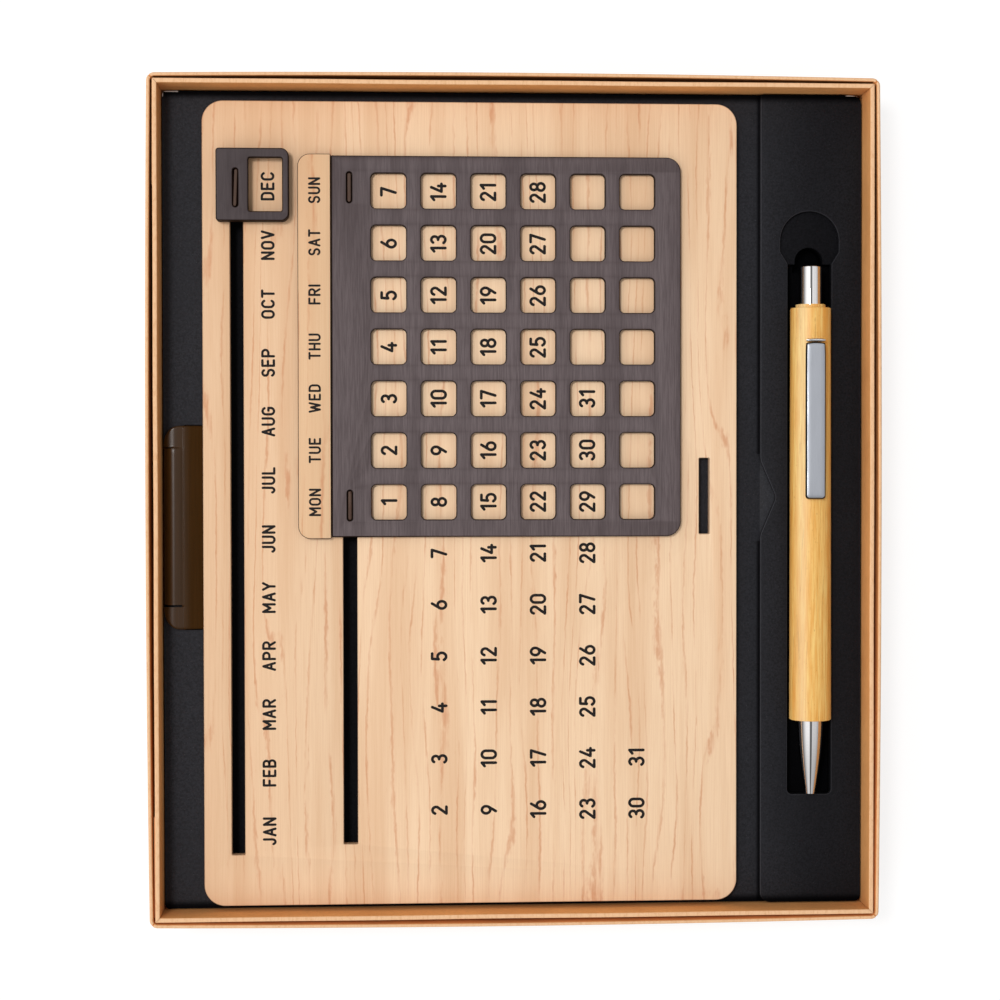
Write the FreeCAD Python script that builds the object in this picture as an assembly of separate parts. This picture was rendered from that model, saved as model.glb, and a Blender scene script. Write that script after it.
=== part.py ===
"""Wooden slide calendar and bamboo click pen in a double-walled kraft tray.

Frame: +X across the tray, +Y along it, +Z up. The origin is the centre of the underside.
All sizes are in millimetres. Every piece is one STEP file in parts/.
"""
import FreeCAD, Part
import math
import os

V = FreeCAD.Vector

# ---- tray ------------------------------------------------------------------
tray_height = 26.0             # floor underside to rim
floor_thickness = 1.0
outer_wall = 0.9               # outer carton board
outer_bow = 0.7                # how far each outer wall bulges at its middle
outer_corner_radius = 2.0
wall_gap = 0.5                 # between the two walls at the corners
liner_wall = 1.2
liner_edge_radius = 0.45       # rounded fold at the rim
lock_tab_width = 14.0
lock_tab_spread = 110.0        # between the two lock tabs of one panel
lock_tab_clearance = 0.15
flap_thickness = 0.45
flap_length = 26.0
flap_below_rim = 2.0
flap_corner_gap = 1.0          # flap end to the liner's corner

# ---- insert ----------------------------------------------------------------
insert_clearance = 0.3         # to the liner panels, all round
side_gap = 10.8                # left liner to the board
lift_gap = 6.6                 # board to the pen panel
back_gap = 3.2                 # board to the back liner
front_gap = 1.4                # board to the front liner
panel_width = 26.9             # the raised pen panel
insert_corner_cut = 2.4        # chamfered corners of the insert
support_sheet = 5.65           # thickness of each of the two lower sheets
bed_sheet = 3.2
panel_sheet = 1.5
panel_corner_radius = 3.0      # its left corners
notch_y = 0.6                  # finger notch in the panel's left edge
notch_mouth = 17.8
notch_depth = 4.0
notch_tip_radius = 2.5

# ---- calendar board --------------------------------------------------------
board_width = 140.0
board_length = 210.0
board_thickness = 3.0
board_corner_radius = 5.5

# places on the board are measured from its left, right, back and front edges
month_slot_in = 8.9            # left edge to the slot's middle
month_slot_width = 3.45
month_slot_front = 13.35       # front edge to the slot's end
date_slot_in = 38.2            # left edge to the slot's middle
date_slot_width = 3.7
date_slot_front = 15.9         # front edge to the slot's end
foot_slot_in = 8.6             # right edge to the slot's middle
foot_slot_y = 2.0              # its middle past the board's middle
foot_slot_width = 2.8
foot_slot_length = 20.0

# ---- sliders ---------------------------------------------------------------
slot_end_clearance = 0.3
slider_gap = 0.1               # slider to board, above and below
tongue_thickness = 1.6         # tenon in the sliders' slits
tongue_clearance = 0.05        # tenon to slit, each side
guide_clearance = 0.1          # tenon shoulder to board slot, each side
tongue_recess = 0.3            # tenon end below the slider's face

cursor_size = 18.8
cursor_back = 22.2             # board's back edge to the cursor's middle
cursor_slit_in = 5.05          # cursor's left edge to its tenon
cursor_face = 2.0
cursor_spacer = 1.9
cursor_left_radius = 0.8
cursor_right_radius = 2.0
cursor_window_width = 8.7
cursor_window_length = 13.8
cursor_window_in = 1.7         # cursor's right edge to the window
cursor_window_radius = 0.4
cursor_window_step = 0.8       # the spacer's window is wider, each side
cursor_tenon_length = 10.0
cursor_tenon_offset = 0.85     # tenon's middle in front of the cursor's middle
cursor_keeper_width = 7.0
cursor_keeper_length = 15.0

frame_thickness = 2.0
grille_radius = 3.8
grille_slit_in = 4.7           # grille's left edge to its slits
weekday_width = 8.7
weekday_overhang = 0.4         # strip past the grille, each end
weekday_radius = 3.2
window_size = 9.1
window_radius = 1.3
window_first_in = 14.9         # grille's left edge to the first row's middle
window_pitch_x = 13.0
window_margin_x = 6.95         # last row to the grille's right edge
window_margin_y = 4.55         # outer columns to the grille's ends
window_rows = 6                # along X: the weeks
window_columns = 7             # along Y: the weekdays
date_columns = 13              # on the board
date_column_back = 23.45       # board's back edge to the last column
date_column_front = 24.55      # board's front edge to the first column
date_tenon_length = 8.0
date_tenon_in = 8.25           # grille's ends to the tenons' middles
keeper_thickness = 1.7
date_keeper_width = 10.4
date_keeper_overhang = 3.0     # past the tenons, along Y
keeper_room = 3.2              # cleared in the bed around a keeper's path

# ---- stand foot ------------------------------------------------------------
foot_thickness = 2.6
foot_width = 38.0
foot_length = 52.0
foot_tongue_length = 6.0
foot_tongue_clearance = 0.4    # tongue to the board's slot, in all
foot_corner_radius = 3.0
foot_aside = 17.5              # middle of the stowed foot right of the board's middle
foot_room = 0.5

# ---- pull grip -------------------------------------------------------------
pull_top_y = 19.7
pull_bottom_y = -33.6
pull_upper_slit_y = 13.9
pull_lower_slit_y = -27.4
pull_slit = 0.4
pull_roll_width = 5.4          # insert's edge to where the roll meets the flat plate
pull_roll_height = 2.3         # above the bed
pull_plate_height = 1.0        # above the bed, at the ridge
pull_ear_radius = 5.0
pull_tail_thickness = 1.2
pull_tail_under_board = 2.5
pull_hook_depth = 4.0          # how far the roll turns down past the bed
pull_hook_thickness = 1.6
pull_room = 0.25

# ---- pen -------------------------------------------------------------------
pen_in = 13.1                  # panel's left edge to the pen's axis
pen_seat_gap = 0.25            # barrel to the sheet below it
barrel_diameter = 11.4
barrel_bore = 7.0
barrel_front_y = -58.2
barrel_length = 109.7
barrel_edge = 0.25
nose_length = 19.7
nose_base_diameter = 6.9
nose_tip_diameter = 2.9
nose_bulge = 0.45              # how far the cone's flank swells
nose_chamber = 4.4             # spring chamber bore
nose_chamber_length = 15.2
nose_shank_length = 11.0
nose_shank_diameter = 5.6
shank_bore = 4.4
thread_insert_length = 13.0
tip_diameter = 2.3
tip_running_clearance = 0.07   # radial, in the nose
tip_length = 18.5
tip_point_length = 2.2
tip_ball_diameter = 0.9
tip_retracted = 0.6            # inside the nose at rest
refill_diameter = 3.2
refill_bore = 2.2
refill_length = 84.0
refill_seat = 4.0              # refill end inside the rotor
rotor_diameter = 5.6
rotor_length = 10.0
rotor_bore = 3.2
button_diameter = 5.86
button_wall = 0.6
button_showing = 11.0
button_dome = 0.6
button_travel = 4.5
button_push_gap = 0.05         # button end to rotor
sleeve_wall = 0.45
sleeve_recess = 0.5            # sleeve end below the barrel's end
sleeve_spare = 0.8             # past the rotor when the button is down
spring_wire = 0.4
spring_diameter = 3.4          # over the wire
spring_turns = 8
spring_steps = 12              # flats in one turn
spring_sides = 6               # flats round the wire

# ---- pen clip --------------------------------------------------------------
clip_width = 5.3
clip_length = 41.0
clip_setback = 10.2            # barrel's end to the clip
clip_thickness = 0.9
clip_lift = 1.0                # underside above the barrel
clip_tip_gap = 0.3
clip_nub_length = 2.2
clip_front_radius = 1.2
clip_rim_width = 0.5
clip_rim_height = 0.25
clip_root_length = 1.2
clip_joint_gap = 0.08
clip_leg_width = 4.0

# ---- finger recess at the pen's button -------------------------------------
keyhole_past_button = 6.0      # button's end to the hole's middle
keyhole_radius = 7.8
keyhole_straight = 2.9         # below its centre before it tapers
keyhole_taper = 3.2
channel_width = 11.7
channel_end_clearance = 0.4    # past the nose
channel_end_radius = 1.3
arch_past_button = 0.6         # button's end to the arch's middle
arch_radius = 3.75
arch_depth = 3.0               # how far it goes into the sheet below the bed

# ---- derived places --------------------------------------------------------
inside_x = (side_gap + board_width + lift_gap + panel_width + insert_clearance) / 2
inside_y = (front_gap + board_length + back_gap) / 2
liner_back_x = inside_x + liner_wall
liner_back_y = inside_y + liner_wall
carton_void_x = liner_back_x + wall_gap
carton_void_y = liner_back_y + wall_gap
insert_x = inside_x - insert_clearance
insert_y = inside_y - insert_clearance

sheet_z = [floor_thickness + index * support_sheet for index in range(3)]
bed_bottom_z = sheet_z[2]
bed_z = bed_bottom_z + bed_sheet
panel_z = bed_z + panel_sheet
board_top_z = bed_z + board_thickness
slider_z = board_top_z + slider_gap
keeper_top_z = bed_z - slider_gap
keeper_bottom_z = keeper_top_z - keeper_thickness
frame_top_z = slider_z + frame_thickness
cursor_spacer_z = slider_z + cursor_spacer
cursor_top_z = cursor_spacer_z + cursor_face

board_left = -inside_x + side_gap
board_right = board_left + board_width
board_back = inside_y - back_gap
board_front = board_back - board_length
board_x = (board_left + board_right) / 2
board_y = (board_front + board_back) / 2
panel_left_x = board_right + lift_gap

month_slot_x = board_left + month_slot_in
cursor_x = month_slot_x - cursor_slit_in + cursor_size / 2
cursor_y = board_back - cursor_back
cursor_window_x = cursor_x + cursor_size / 2 - cursor_window_in - cursor_window_width / 2
cursor_tenon_y = cursor_y - cursor_tenon_offset
month_slot_end_y = board_front + month_slot_front
cursor_travel = cursor_tenon_y - cursor_tenon_length / 2 - slot_end_clearance - month_slot_end_y

window_pitch_y = (board_length - date_column_back - date_column_front) / (date_columns - 1)
window_back_y = board_back - date_column_back
date_slot_x = board_left + date_slot_in
grille_left_x = date_slot_x - grille_slit_in
grille_width = window_first_in + (window_rows - 1) * window_pitch_x + window_size / 2 + window_margin_x
grille_length = (window_columns - 1) * window_pitch_y + window_size + 2 * window_margin_y
frame_y = window_back_y - (window_columns - 1) / 2 * window_pitch_y
date_tenon_upper_y = frame_y + grille_length / 2 - date_tenon_in
date_tenon_lower_y = frame_y - grille_length / 2 + date_tenon_in
date_slot_end_y = board_front + date_slot_front
date_travel = date_tenon_lower_y - date_tenon_length / 2 - slot_end_clearance - date_slot_end_y

foot_x = board_x + foot_aside
foot_y = board_y
pull_ridge_x = -insert_x + pull_roll_width
pen_x = panel_left_x + pen_in

pen_radius = barrel_diameter / 2
pen_z = bed_bottom_z + pen_seat_gap + pen_radius
barrel_back_y = barrel_front_y + barrel_length
nose_tip_y = barrel_front_y - nose_length
tip_point_y = nose_tip_y + tip_retracted
refill_front_y = tip_point_y + tip_length
refill_back_y = refill_front_y + refill_length
rotor_front_y = refill_back_y - refill_seat
rotor_back_y = rotor_front_y + rotor_length
button_back_y = barrel_back_y + button_showing
button_front_y = rotor_back_y + button_push_gap
sleeve_diameter = barrel_bore
sleeve_bore = sleeve_diameter - 2 * sleeve_wall
sleeve_back_y = barrel_back_y - sleeve_recess
sleeve_front_y = rotor_front_y - button_travel - sleeve_spare
clip_bottom_z = pen_z + pen_radius + clip_lift
clip_top_z = clip_bottom_z + clip_thickness
clip_back_y = barrel_back_y - clip_setback
clip_front_y = clip_back_y - clip_length
clip_root_y = clip_back_y + clip_joint_gap
keyhole_y = button_back_y + keyhole_past_button
arch_y = button_back_y + arch_past_button
channel_end_y = nose_tip_y - channel_end_clearance


# ---- small helpers ---------------------------------------------------------
def block(x0, x1, y0, y1, z0, z1):
    """A box between two corners."""
    return Part.makeBox(x1 - x0, y1 - y0, z1 - z0, V(x0, y0, z0))


def centred_block(x, y, width, length, z0, z1):
    """A box centred on x, y."""
    return block(x - width / 2, x + width / 2, y - length / 2, y + length / 2, z0, z1)


def prism(edges, z0, z1):
    """The closed outline drawn at height 0, raised from z0 to z1."""
    face = Part.Face(Part.Wire(edges))
    face.translate(V(0, 0, z0))
    return face.extrude(V(0, 0, z1 - z0))


def polygon(points):
    """Straight edges through the points, closed."""
    vectors = [V(x, y, 0) for x, y in points]
    return Part.makePolygon(vectors + vectors[:1]).Edges


def rounded_plate(x, y, width, length, z0, z1, radii):
    """A plate with corner radii given as left-front, right-front, right-back, left-back."""
    plate = centred_block(x, y, width, length, z0, z1)
    corners = [(-1, -1), (1, -1), (1, 1), (-1, 1)]
    for (side_x, side_y), radius in zip(corners, radii):
        if radius <= 0:
            continue
        corner = V(x + side_x * width / 2, y + side_y * length / 2, 0)
        edges = [edge for edge in plate.Edges if is_upright_at(edge, corner)]
        plate = plate.makeFillet(radius, edges)
    return plate


def is_upright_at(edge, corner):
    """True for a vertical straight edge that stands on the corner."""
    ends = [vertex.Point for vertex in edge.Vertexes]
    if len(ends) != 2 or abs(ends[0].z - ends[1].z) < 1e-6:
        return False
    return all(math.hypot(end.x - corner.x, end.y - corner.y) < 1e-6 for end in ends)


def slot_hole(x, y, width, length, z0, z1):
    """A tool that cuts a slit with rounded ends, its long way along Y."""
    radius = width / 2
    middle = centred_block(x, y, width, length - width, z0, z1)
    reach = length / 2 - radius
    ends = [Part.makeCylinder(radius, z1 - z0, V(x, y + side * reach, z0)) for side in (-1, 1)]
    return middle.fuse(ends).removeSplitter()


def rod(diameter, y0, y1, x=pen_x, z=pen_z):
    """A round bar along Y, on the pen's axis unless told otherwise."""
    return Part.makeCylinder(diameter / 2, y1 - y0, V(x, y0, z), V(0, 1, 0))


def tube(diameter, bore, y0, y1):
    """A round tube along the pen's axis."""
    return rod(diameter, y0, y1).cut(rod(bore, y0, y1))


def turned(edges):
    """A solid turned about the pen's axis from a closed outline of radius (X) against Y."""
    face = Part.Face(Part.Wire(edges))
    face.translate(V(pen_x, 0, pen_z))
    return face.revolve(V(pen_x, 0, pen_z), V(0, 1, 0), 360)


def save(name, shape):
    """Write one node to its STEP file."""
    shape.exportStep(os.path.join("parts", name + ".step"))


# ---- tray ------------------------------------------------------------------
def bowed_outline(half_x, half_y):
    """Four shallow arcs through the corners, each bulging outwards at its middle."""
    corners = [V(-half_x, -half_y, 0), V(half_x, -half_y, 0), V(half_x, half_y, 0), V(-half_x, half_y, 0)]
    middles = [V(0, -half_y - outer_bow, 0), V(half_x + outer_bow, 0, 0),
               V(0, half_y + outer_bow, 0), V(-half_x - outer_bow, 0, 0)]
    edges = []
    for index, middle in enumerate(middles):
        arc = Part.Arc(corners[index], middle, corners[(index + 1) % 4])
        edges.append(arc.toShape())
    return edges


def upright_edges(shape, half_x, half_y):
    """The four vertical corner edges of a bowed prism."""
    found = []
    for side_x in (-1, 1):
        for side_y in (-1, 1):
            corner = V(side_x * half_x, side_y * half_y, 0)
            found += [edge for edge in shape.Edges if is_upright_at(edge, corner)]
    return found


def tab_places():
    """Middle of every lock tab and whether its panel runs along Y."""
    middle_x = inside_x + liner_wall / 2
    middle_y = inside_y + liner_wall / 2
    places = []
    for side in (-1, 1):
        for end in (-1, 1):
            places.append((side * middle_x, end * lock_tab_spread / 2, True))
            places.append((end * lock_tab_spread / 2, side * middle_y, False))
    return places


def tab_block(x, y, along_y, spare, z0, z1):
    """A lock tab, or with spare room its slot in the floor."""
    width = liner_wall + 2 * spare
    length = lock_tab_width + 2 * spare
    if along_y:
        return centred_block(x, y, width, length, z0, z1)
    return centred_block(x, y, length, width, z0, z1)


def outer_carton():
    """Floor and four outer walls folded from one blank."""
    outside_x = carton_void_x + outer_wall
    outside_y = carton_void_y + outer_wall
    body = prism(bowed_outline(outside_x, outside_y), 0, tray_height)
    body = body.makeFillet(outer_corner_radius, upright_edges(body, outside_x, outside_y))
    room = prism(bowed_outline(carton_void_x, carton_void_y), floor_thickness, tray_height + 1)
    inner_radius = outer_corner_radius - outer_wall
    room = room.makeFillet(inner_radius, upright_edges(room, carton_void_x, carton_void_y))
    carton = body.cut(room)
    for x, y, along_y in tab_places():
        carton = carton.cut(tab_block(x, y, along_y, lock_tab_clearance, -1, floor_thickness + 1))
    return carton


def liner_panels():
    """The four inner wall panels, mitred where they meet, each with two lock tabs."""
    inner = [(-inside_x, -inside_y), (inside_x, -inside_y), (inside_x, inside_y), (-inside_x, inside_y)]
    outer = [(-liner_back_x, -liner_back_y), (liner_back_x, -liner_back_y),
             (liner_back_x, liner_back_y), (-liner_back_x, liner_back_y)]
    panels = {}
    for index, name in enumerate(["liner_front", "liner_right", "liner_back", "liner_left"]):
        following = (index + 1) % 4
        outline = [outer[index], outer[following], inner[following], inner[index]]
        panel = prism(polygon(outline), floor_thickness, tray_height)
        long_edges = [edge for edge in panel.Edges if is_rim_edge(edge)]
        panel = panel.makeFillet(liner_edge_radius, long_edges)
        panels[name] = panel
    for x, y, along_y in tab_places():
        name = panel_at(x, y, along_y)
        panels[name] = panels[name].fuse(tab_block(x, y, along_y, 0, 0, floor_thickness)).removeSplitter()
    return panels


def is_rim_edge(edge):
    """True for the two long top edges of a liner panel."""
    box = edge.BoundBox
    return box.ZMin > tray_height - 1e-6 and edge.Length > 10 * liner_wall


def panel_at(x, y, along_y):
    """Name of the liner panel that a lock tab belongs to."""
    if along_y:
        return "liner_right" if x > 0 else "liner_left"
    return "liner_back" if y > 0 else "liner_front"


def corner_flaps():
    """Four flaps folded round the corners, against the backs of the side liners."""
    flaps = []
    for side in (-1, 1):
        for end in (-1, 1):
            near = liner_back_x if side > 0 else -liner_back_x - flap_thickness
            far_y = liner_back_y - flap_corner_gap
            end_y = far_y - flap_length if end > 0 else -far_y
            flaps.append(block(near, near + flap_thickness, end_y, end_y + flap_length,
                               floor_thickness, tray_height - flap_below_rim))
    return Part.makeCompound(flaps)


# ---- insert ----------------------------------------------------------------
def insert_sheet(z0, z1):
    """A full sheet of the insert with its four corners cut."""
    cut = insert_corner_cut
    points = [(-insert_x + cut, -insert_y), (insert_x - cut, -insert_y), (insert_x, -insert_y + cut),
              (insert_x, insert_y - cut), (insert_x - cut, insert_y), (-insert_x + cut, insert_y),
              (-insert_x, insert_y - cut), (-insert_x, -insert_y + cut)]
    return prism(polygon(points), z0, z1)


def hook_room(z0, z1):
    """The notch in a sheet's left edge that the grip's roll turns down through."""
    depth = pull_hook_thickness + pull_room
    return block(-insert_x - 1, -insert_x + depth, pull_lower_slit_y - pull_room,
                 pull_upper_slit_y + pull_room, z0, z1)


def finger_arch(z0, z1):
    """The rounded end of the pen slot below the button."""
    arch = Part.makeCylinder(arch_radius, z1 - z0, V(pen_x, arch_y, z0))
    neck_y = keyhole_y - keyhole_straight - keyhole_taper
    return arch.fuse(block(pen_x - arch_radius, pen_x + arch_radius, neck_y - 2, arch_y, z0, z1))


def support_sheets():
    """Two sheets below the bed; the upper one has the finger hollow and the hook's notch."""
    lower = insert_sheet(sheet_z[0], sheet_z[1])
    upper = insert_sheet(sheet_z[1], sheet_z[2])
    upper = upper.cut(finger_arch(bed_bottom_z - arch_depth, bed_bottom_z + 1))
    upper = upper.cut(hook_room(bed_z - pull_hook_depth - pull_room, bed_bottom_z + 1))
    return lower, upper


def keeper_path(x, front_y, back_y, width, travel):
    """The room a keeper sweeps under the board."""
    x0 = x - width / 2 - keeper_room
    x1 = x + width / 2 + keeper_room
    return block(x0, x1, front_y - travel - keeper_room, back_y + keeper_room, bed_bottom_z - 1, bed_z + 1)


def bed_layer():
    """The sheet the board lies on, open for the keepers, the foot, the pen and the grip's tail."""
    bed = insert_sheet(bed_bottom_z, bed_z)
    half_keeper = cursor_keeper_length / 2
    bed = bed.cut(keeper_path(month_slot_x, cursor_tenon_y - half_keeper, cursor_tenon_y + half_keeper,
                              cursor_keeper_width, cursor_travel))
    half_tenon = date_tenon_length / 2 + date_keeper_overhang
    bed = bed.cut(keeper_path(date_slot_x, date_tenon_lower_y - half_tenon, date_tenon_upper_y + half_tenon,
                              date_keeper_width, date_travel))
    bed = bed.cut(centred_block(foot_x, foot_y, foot_length + foot_tongue_length + 2 * foot_room,
                                foot_width + 2 * foot_room, bed_bottom_z - 1, bed_z + 1))
    neck_y = keyhole_y - keyhole_straight - keyhole_taper
    bed = bed.cut(block(pen_x - channel_width / 2, pen_x + channel_width / 2, channel_end_y, neck_y,
                        bed_bottom_z - 1, bed_z + 1))
    bed = bed.cut(finger_arch(bed_bottom_z - 1, bed_z + 1))
    bed = bed.cut(hook_room(bed_bottom_z - 1, bed_z + 1))
    tail_x = board_left + pull_tail_under_board
    bed = bed.cut(block(pull_ridge_x, tail_x + pull_room, pull_bottom_y - pull_room, pull_top_y + pull_room,
                        bed_z - pull_tail_thickness, bed_z + 1))
    return bed


def notch_outline():
    """The finger notch: a straight flank each way to a rounded tip."""
    half = notch_mouth / 2
    tip_x = panel_left_x + notch_depth
    flank = math.atan2(half, notch_depth)
    centre_x = tip_x - notch_tip_radius
    touch_x = centre_x + notch_tip_radius * math.sin(flank)
    touch_y = notch_tip_radius * math.cos(flank)
    mouth_y = touch_y + (touch_x - panel_left_x) * math.tan(flank)
    lower = [V(panel_left_x - 1, notch_y - mouth_y - math.tan(flank), 0), V(touch_x, notch_y - touch_y, 0)]
    upper = [V(touch_x, notch_y + touch_y, 0), V(panel_left_x - 1, notch_y + mouth_y + math.tan(flank), 0)]
    tip = Part.Arc(lower[1], V(tip_x, notch_y, 0), upper[0]).toShape()
    return [Part.makeLine(*lower), tip, Part.makeLine(*upper), Part.makeLine(upper[1], lower[0])]


def keyhole_outline():
    """Round finger hole, straight sides, taper and the pen channel, as one outline."""
    shoulder_y = keyhole_y - keyhole_straight
    neck_y = shoulder_y - keyhole_taper
    half = channel_width / 2
    corner = channel_end_radius
    left = [V(pen_x - keyhole_radius, keyhole_y, 0), V(pen_x - keyhole_radius, shoulder_y, 0),
            V(pen_x - half, neck_y, 0), V(pen_x - half, channel_end_y + corner, 0)]
    right = [V(2 * pen_x - point.x, point.y, 0) for point in left]
    turn = corner * (1 - math.cos(math.radians(45)))
    end_left = V(pen_x - half + corner, channel_end_y, 0)
    end_right = V(pen_x + half - corner, channel_end_y, 0)
    edges = [Part.Arc(right[0], V(pen_x, keyhole_y + keyhole_radius, 0), left[0]).toShape()]
    edges += [Part.makeLine(left[index], left[index + 1]) for index in range(3)]
    edges.append(Part.Arc(left[3], V(pen_x - half + turn, channel_end_y + turn, 0), end_left).toShape())
    edges.append(Part.makeLine(end_left, end_right))
    edges.append(Part.Arc(end_right, V(pen_x + half - turn, channel_end_y + turn, 0), right[3]).toShape())
    edges += [Part.makeLine(right[index + 1], right[index]) for index in (2, 1, 0)]
    return edges


def pen_panel():
    """The raised sheet beside the board, with the finger notch and the pen's keyhole."""
    cut = insert_corner_cut
    points = [(panel_left_x, -insert_y), (insert_x - cut, -insert_y), (insert_x, -insert_y + cut),
              (insert_x, insert_y - cut), (insert_x - cut, insert_y), (panel_left_x, insert_y)]
    panel = prism(polygon(points), bed_z, panel_z)
    for end in (-1, 1):
        corner = V(panel_left_x, end * insert_y, 0)
        panel = panel.makeFillet(panel_corner_radius, [e for e in panel.Edges if is_upright_at(e, corner)])
    panel = panel.cut(prism(notch_outline(), bed_z - 1, panel_z + 1))
    return panel.cut(prism(keyhole_outline(), bed_z - 1, panel_z + 1))


def profile_along_y(edges, y0, y1):
    """A closed outline of X against Z, drawn out from y0 to y1."""
    face = Part.Face(Part.Wire(edges))
    face.translate(V(0, y0, 0))
    return face.extrude(V(0, y1 - y0, 0))


def pull_grip():
    """Brown grip: a flat plate with two ears and, between two slits, a roll that turns down."""
    left_x = -insert_x
    tail_x = board_left + pull_tail_under_board
    tail_z = bed_z - pull_tail_thickness
    ridge_z = bed_z + pull_plate_height
    plate_end_x = board_left - pull_room
    plate_edges = [
        Part.makeLine(V(left_x + pull_room, 0, bed_z), V(left_x + pull_room, 0, ridge_z)),
        Part.makeLine(V(left_x + pull_room, 0, ridge_z), V(pull_ridge_x, 0, ridge_z)),
        Part.makeLine(V(pull_ridge_x, 0, ridge_z), V(plate_end_x, 0, bed_z - pull_room)),
        Part.makeLine(V(plate_end_x, 0, bed_z - pull_room), V(tail_x, 0, bed_z - pull_room)),
        Part.makeLine(V(tail_x, 0, bed_z - pull_room), V(tail_x, 0, tail_z)),
        Part.makeLine(V(tail_x, 0, tail_z), V(pull_ridge_x, 0, tail_z)),
        Part.makeLine(V(pull_ridge_x, 0, tail_z), V(pull_ridge_x, 0, bed_z)),
        Part.makeLine(V(pull_ridge_x, 0, bed_z), V(left_x + pull_room, 0, bed_z)),
    ]
    grip = profile_along_y(plate_edges, pull_bottom_y, pull_top_y)
    for y in (pull_bottom_y, pull_top_y):
        corner = V(left_x + pull_room, y, 0)
        grip = grip.makeFillet(pull_ear_radius, [e for e in grip.Edges if is_upright_at(e, corner)])
    y0 = pull_lower_slit_y
    y1 = pull_upper_slit_y
    grip = grip.cut(block(left_x - 1, pull_ridge_x, y0 - pull_slit, y1 + pull_slit, bed_z - 1, ridge_z + 1))
    return grip.fuse(pull_roll(left_x, y0, y1)).removeSplitter()


def pull_roll(left_x, y0, y1):
    """The rolled middle of the grip, as an arched cap with a leg that turns down."""
    cap_z = bed_z + pull_roll_height
    low_z = bed_z - pull_hook_depth
    leg_x = left_x + pull_hook_thickness
    shoulder_z = bed_z + pull_roll_height / 2
    top_x = (left_x + pull_ridge_x) / 2
    ridge_z = bed_z + pull_plate_height
    quarter_x = left_x + (top_x - left_x) * (1 - math.cos(math.radians(45)))
    quarter_z = shoulder_z + (cap_z - shoulder_z) * math.sin(math.radians(45))
    crown = Part.Arc(V(left_x, 0, shoulder_z), V(quarter_x, 0, quarter_z), V(top_x, 0, cap_z)).toShape()
    fall_x = (top_x + pull_ridge_x) / 2
    fall_z = cap_z - (cap_z - ridge_z) * 0.3
    fall = Part.Arc(V(top_x, 0, cap_z), V(fall_x, 0, fall_z), V(pull_ridge_x, 0, ridge_z)).toShape()
    edges = [
        Part.makeLine(V(left_x, 0, low_z), V(left_x, 0, shoulder_z)),
        crown,
        fall,
        Part.makeLine(V(pull_ridge_x, 0, ridge_z), V(pull_ridge_x, 0, bed_z)),
        Part.makeLine(V(pull_ridge_x, 0, bed_z), V(leg_x, 0, bed_z)),
        Part.makeLine(V(leg_x, 0, bed_z), V(leg_x, 0, low_z)),
        Part.makeLine(V(leg_x, 0, low_z), V(left_x, 0, low_z)),
    ]
    return profile_along_y(edges, y0, y1)


def stand_foot():
    """The foot, lying flat: a plate with a tongue that fits the board's foot slot."""
    tongue = foot_slot_length - foot_tongue_clearance
    z1 = bed_bottom_z + foot_thickness
    plate_x = foot_x - foot_tongue_length / 2
    plate = rounded_plate(plate_x, foot_y, foot_length, foot_width, bed_bottom_z, z1,
                          [foot_corner_radius] * 4)
    end_x = plate_x + foot_length / 2
    reach = block(end_x - 1, end_x + foot_tongue_length, foot_y - tongue / 2, foot_y + tongue / 2,
                  bed_bottom_z, z1)
    return plate.fuse(reach).removeSplitter()


# ---- calendar board --------------------------------------------------------
def calendar_board():
    """The maple board with the month slot, the date slot and the foot slot."""
    board = rounded_plate(board_x, board_y, board_width, board_length, bed_z, board_top_z,
                          [board_corner_radius] * 4)
    month_back = cursor_tenon_y + cursor_tenon_length / 2 + slot_end_clearance
    date_back = date_tenon_upper_y + date_tenon_length / 2 + slot_end_clearance
    foot_front = board_y + foot_slot_y - foot_slot_length / 2
    slots = [(month_slot_x, month_slot_end_y, month_back, month_slot_width),
             (date_slot_x, date_slot_end_y, date_back, date_slot_width),
             (board_right - foot_slot_in, foot_front, foot_front + foot_slot_length, foot_slot_width)]
    for x, front, back, width in slots:
        board = board.cut(block(x - width / 2, x + width / 2, front, back, bed_z - 1, board_top_z + 1))
    return board


# ---- sliders ---------------------------------------------------------------
def slit(x, y, length, z0, z1):
    """The slit a tenon's tongue passes through."""
    width = tongue_thickness + 2 * tongue_clearance
    return slot_hole(x, y, width, length + 2 * tongue_clearance, z0 - 1, z1 + 1)


def tongue(x, y, length, z0, z1):
    """The narrow part of a tenon."""
    return slot_hole(x, y, tongue_thickness, length, z0, z1)


def tenon(x, y, length, slot_width, top_z):
    """A tenon: a guide block in the board's slot with a tongue above and below it."""
    guide = slot_width - 2 * guide_clearance
    middle = centred_block(x, y, guide, length, keeper_top_z, slider_z)
    upper = tongue(x, y, length, slider_z, top_z - tongue_recess)
    lower = tongue(x, y, length, keeper_bottom_z, keeper_top_z)
    return middle.fuse([upper, lower]).removeSplitter()


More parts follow.
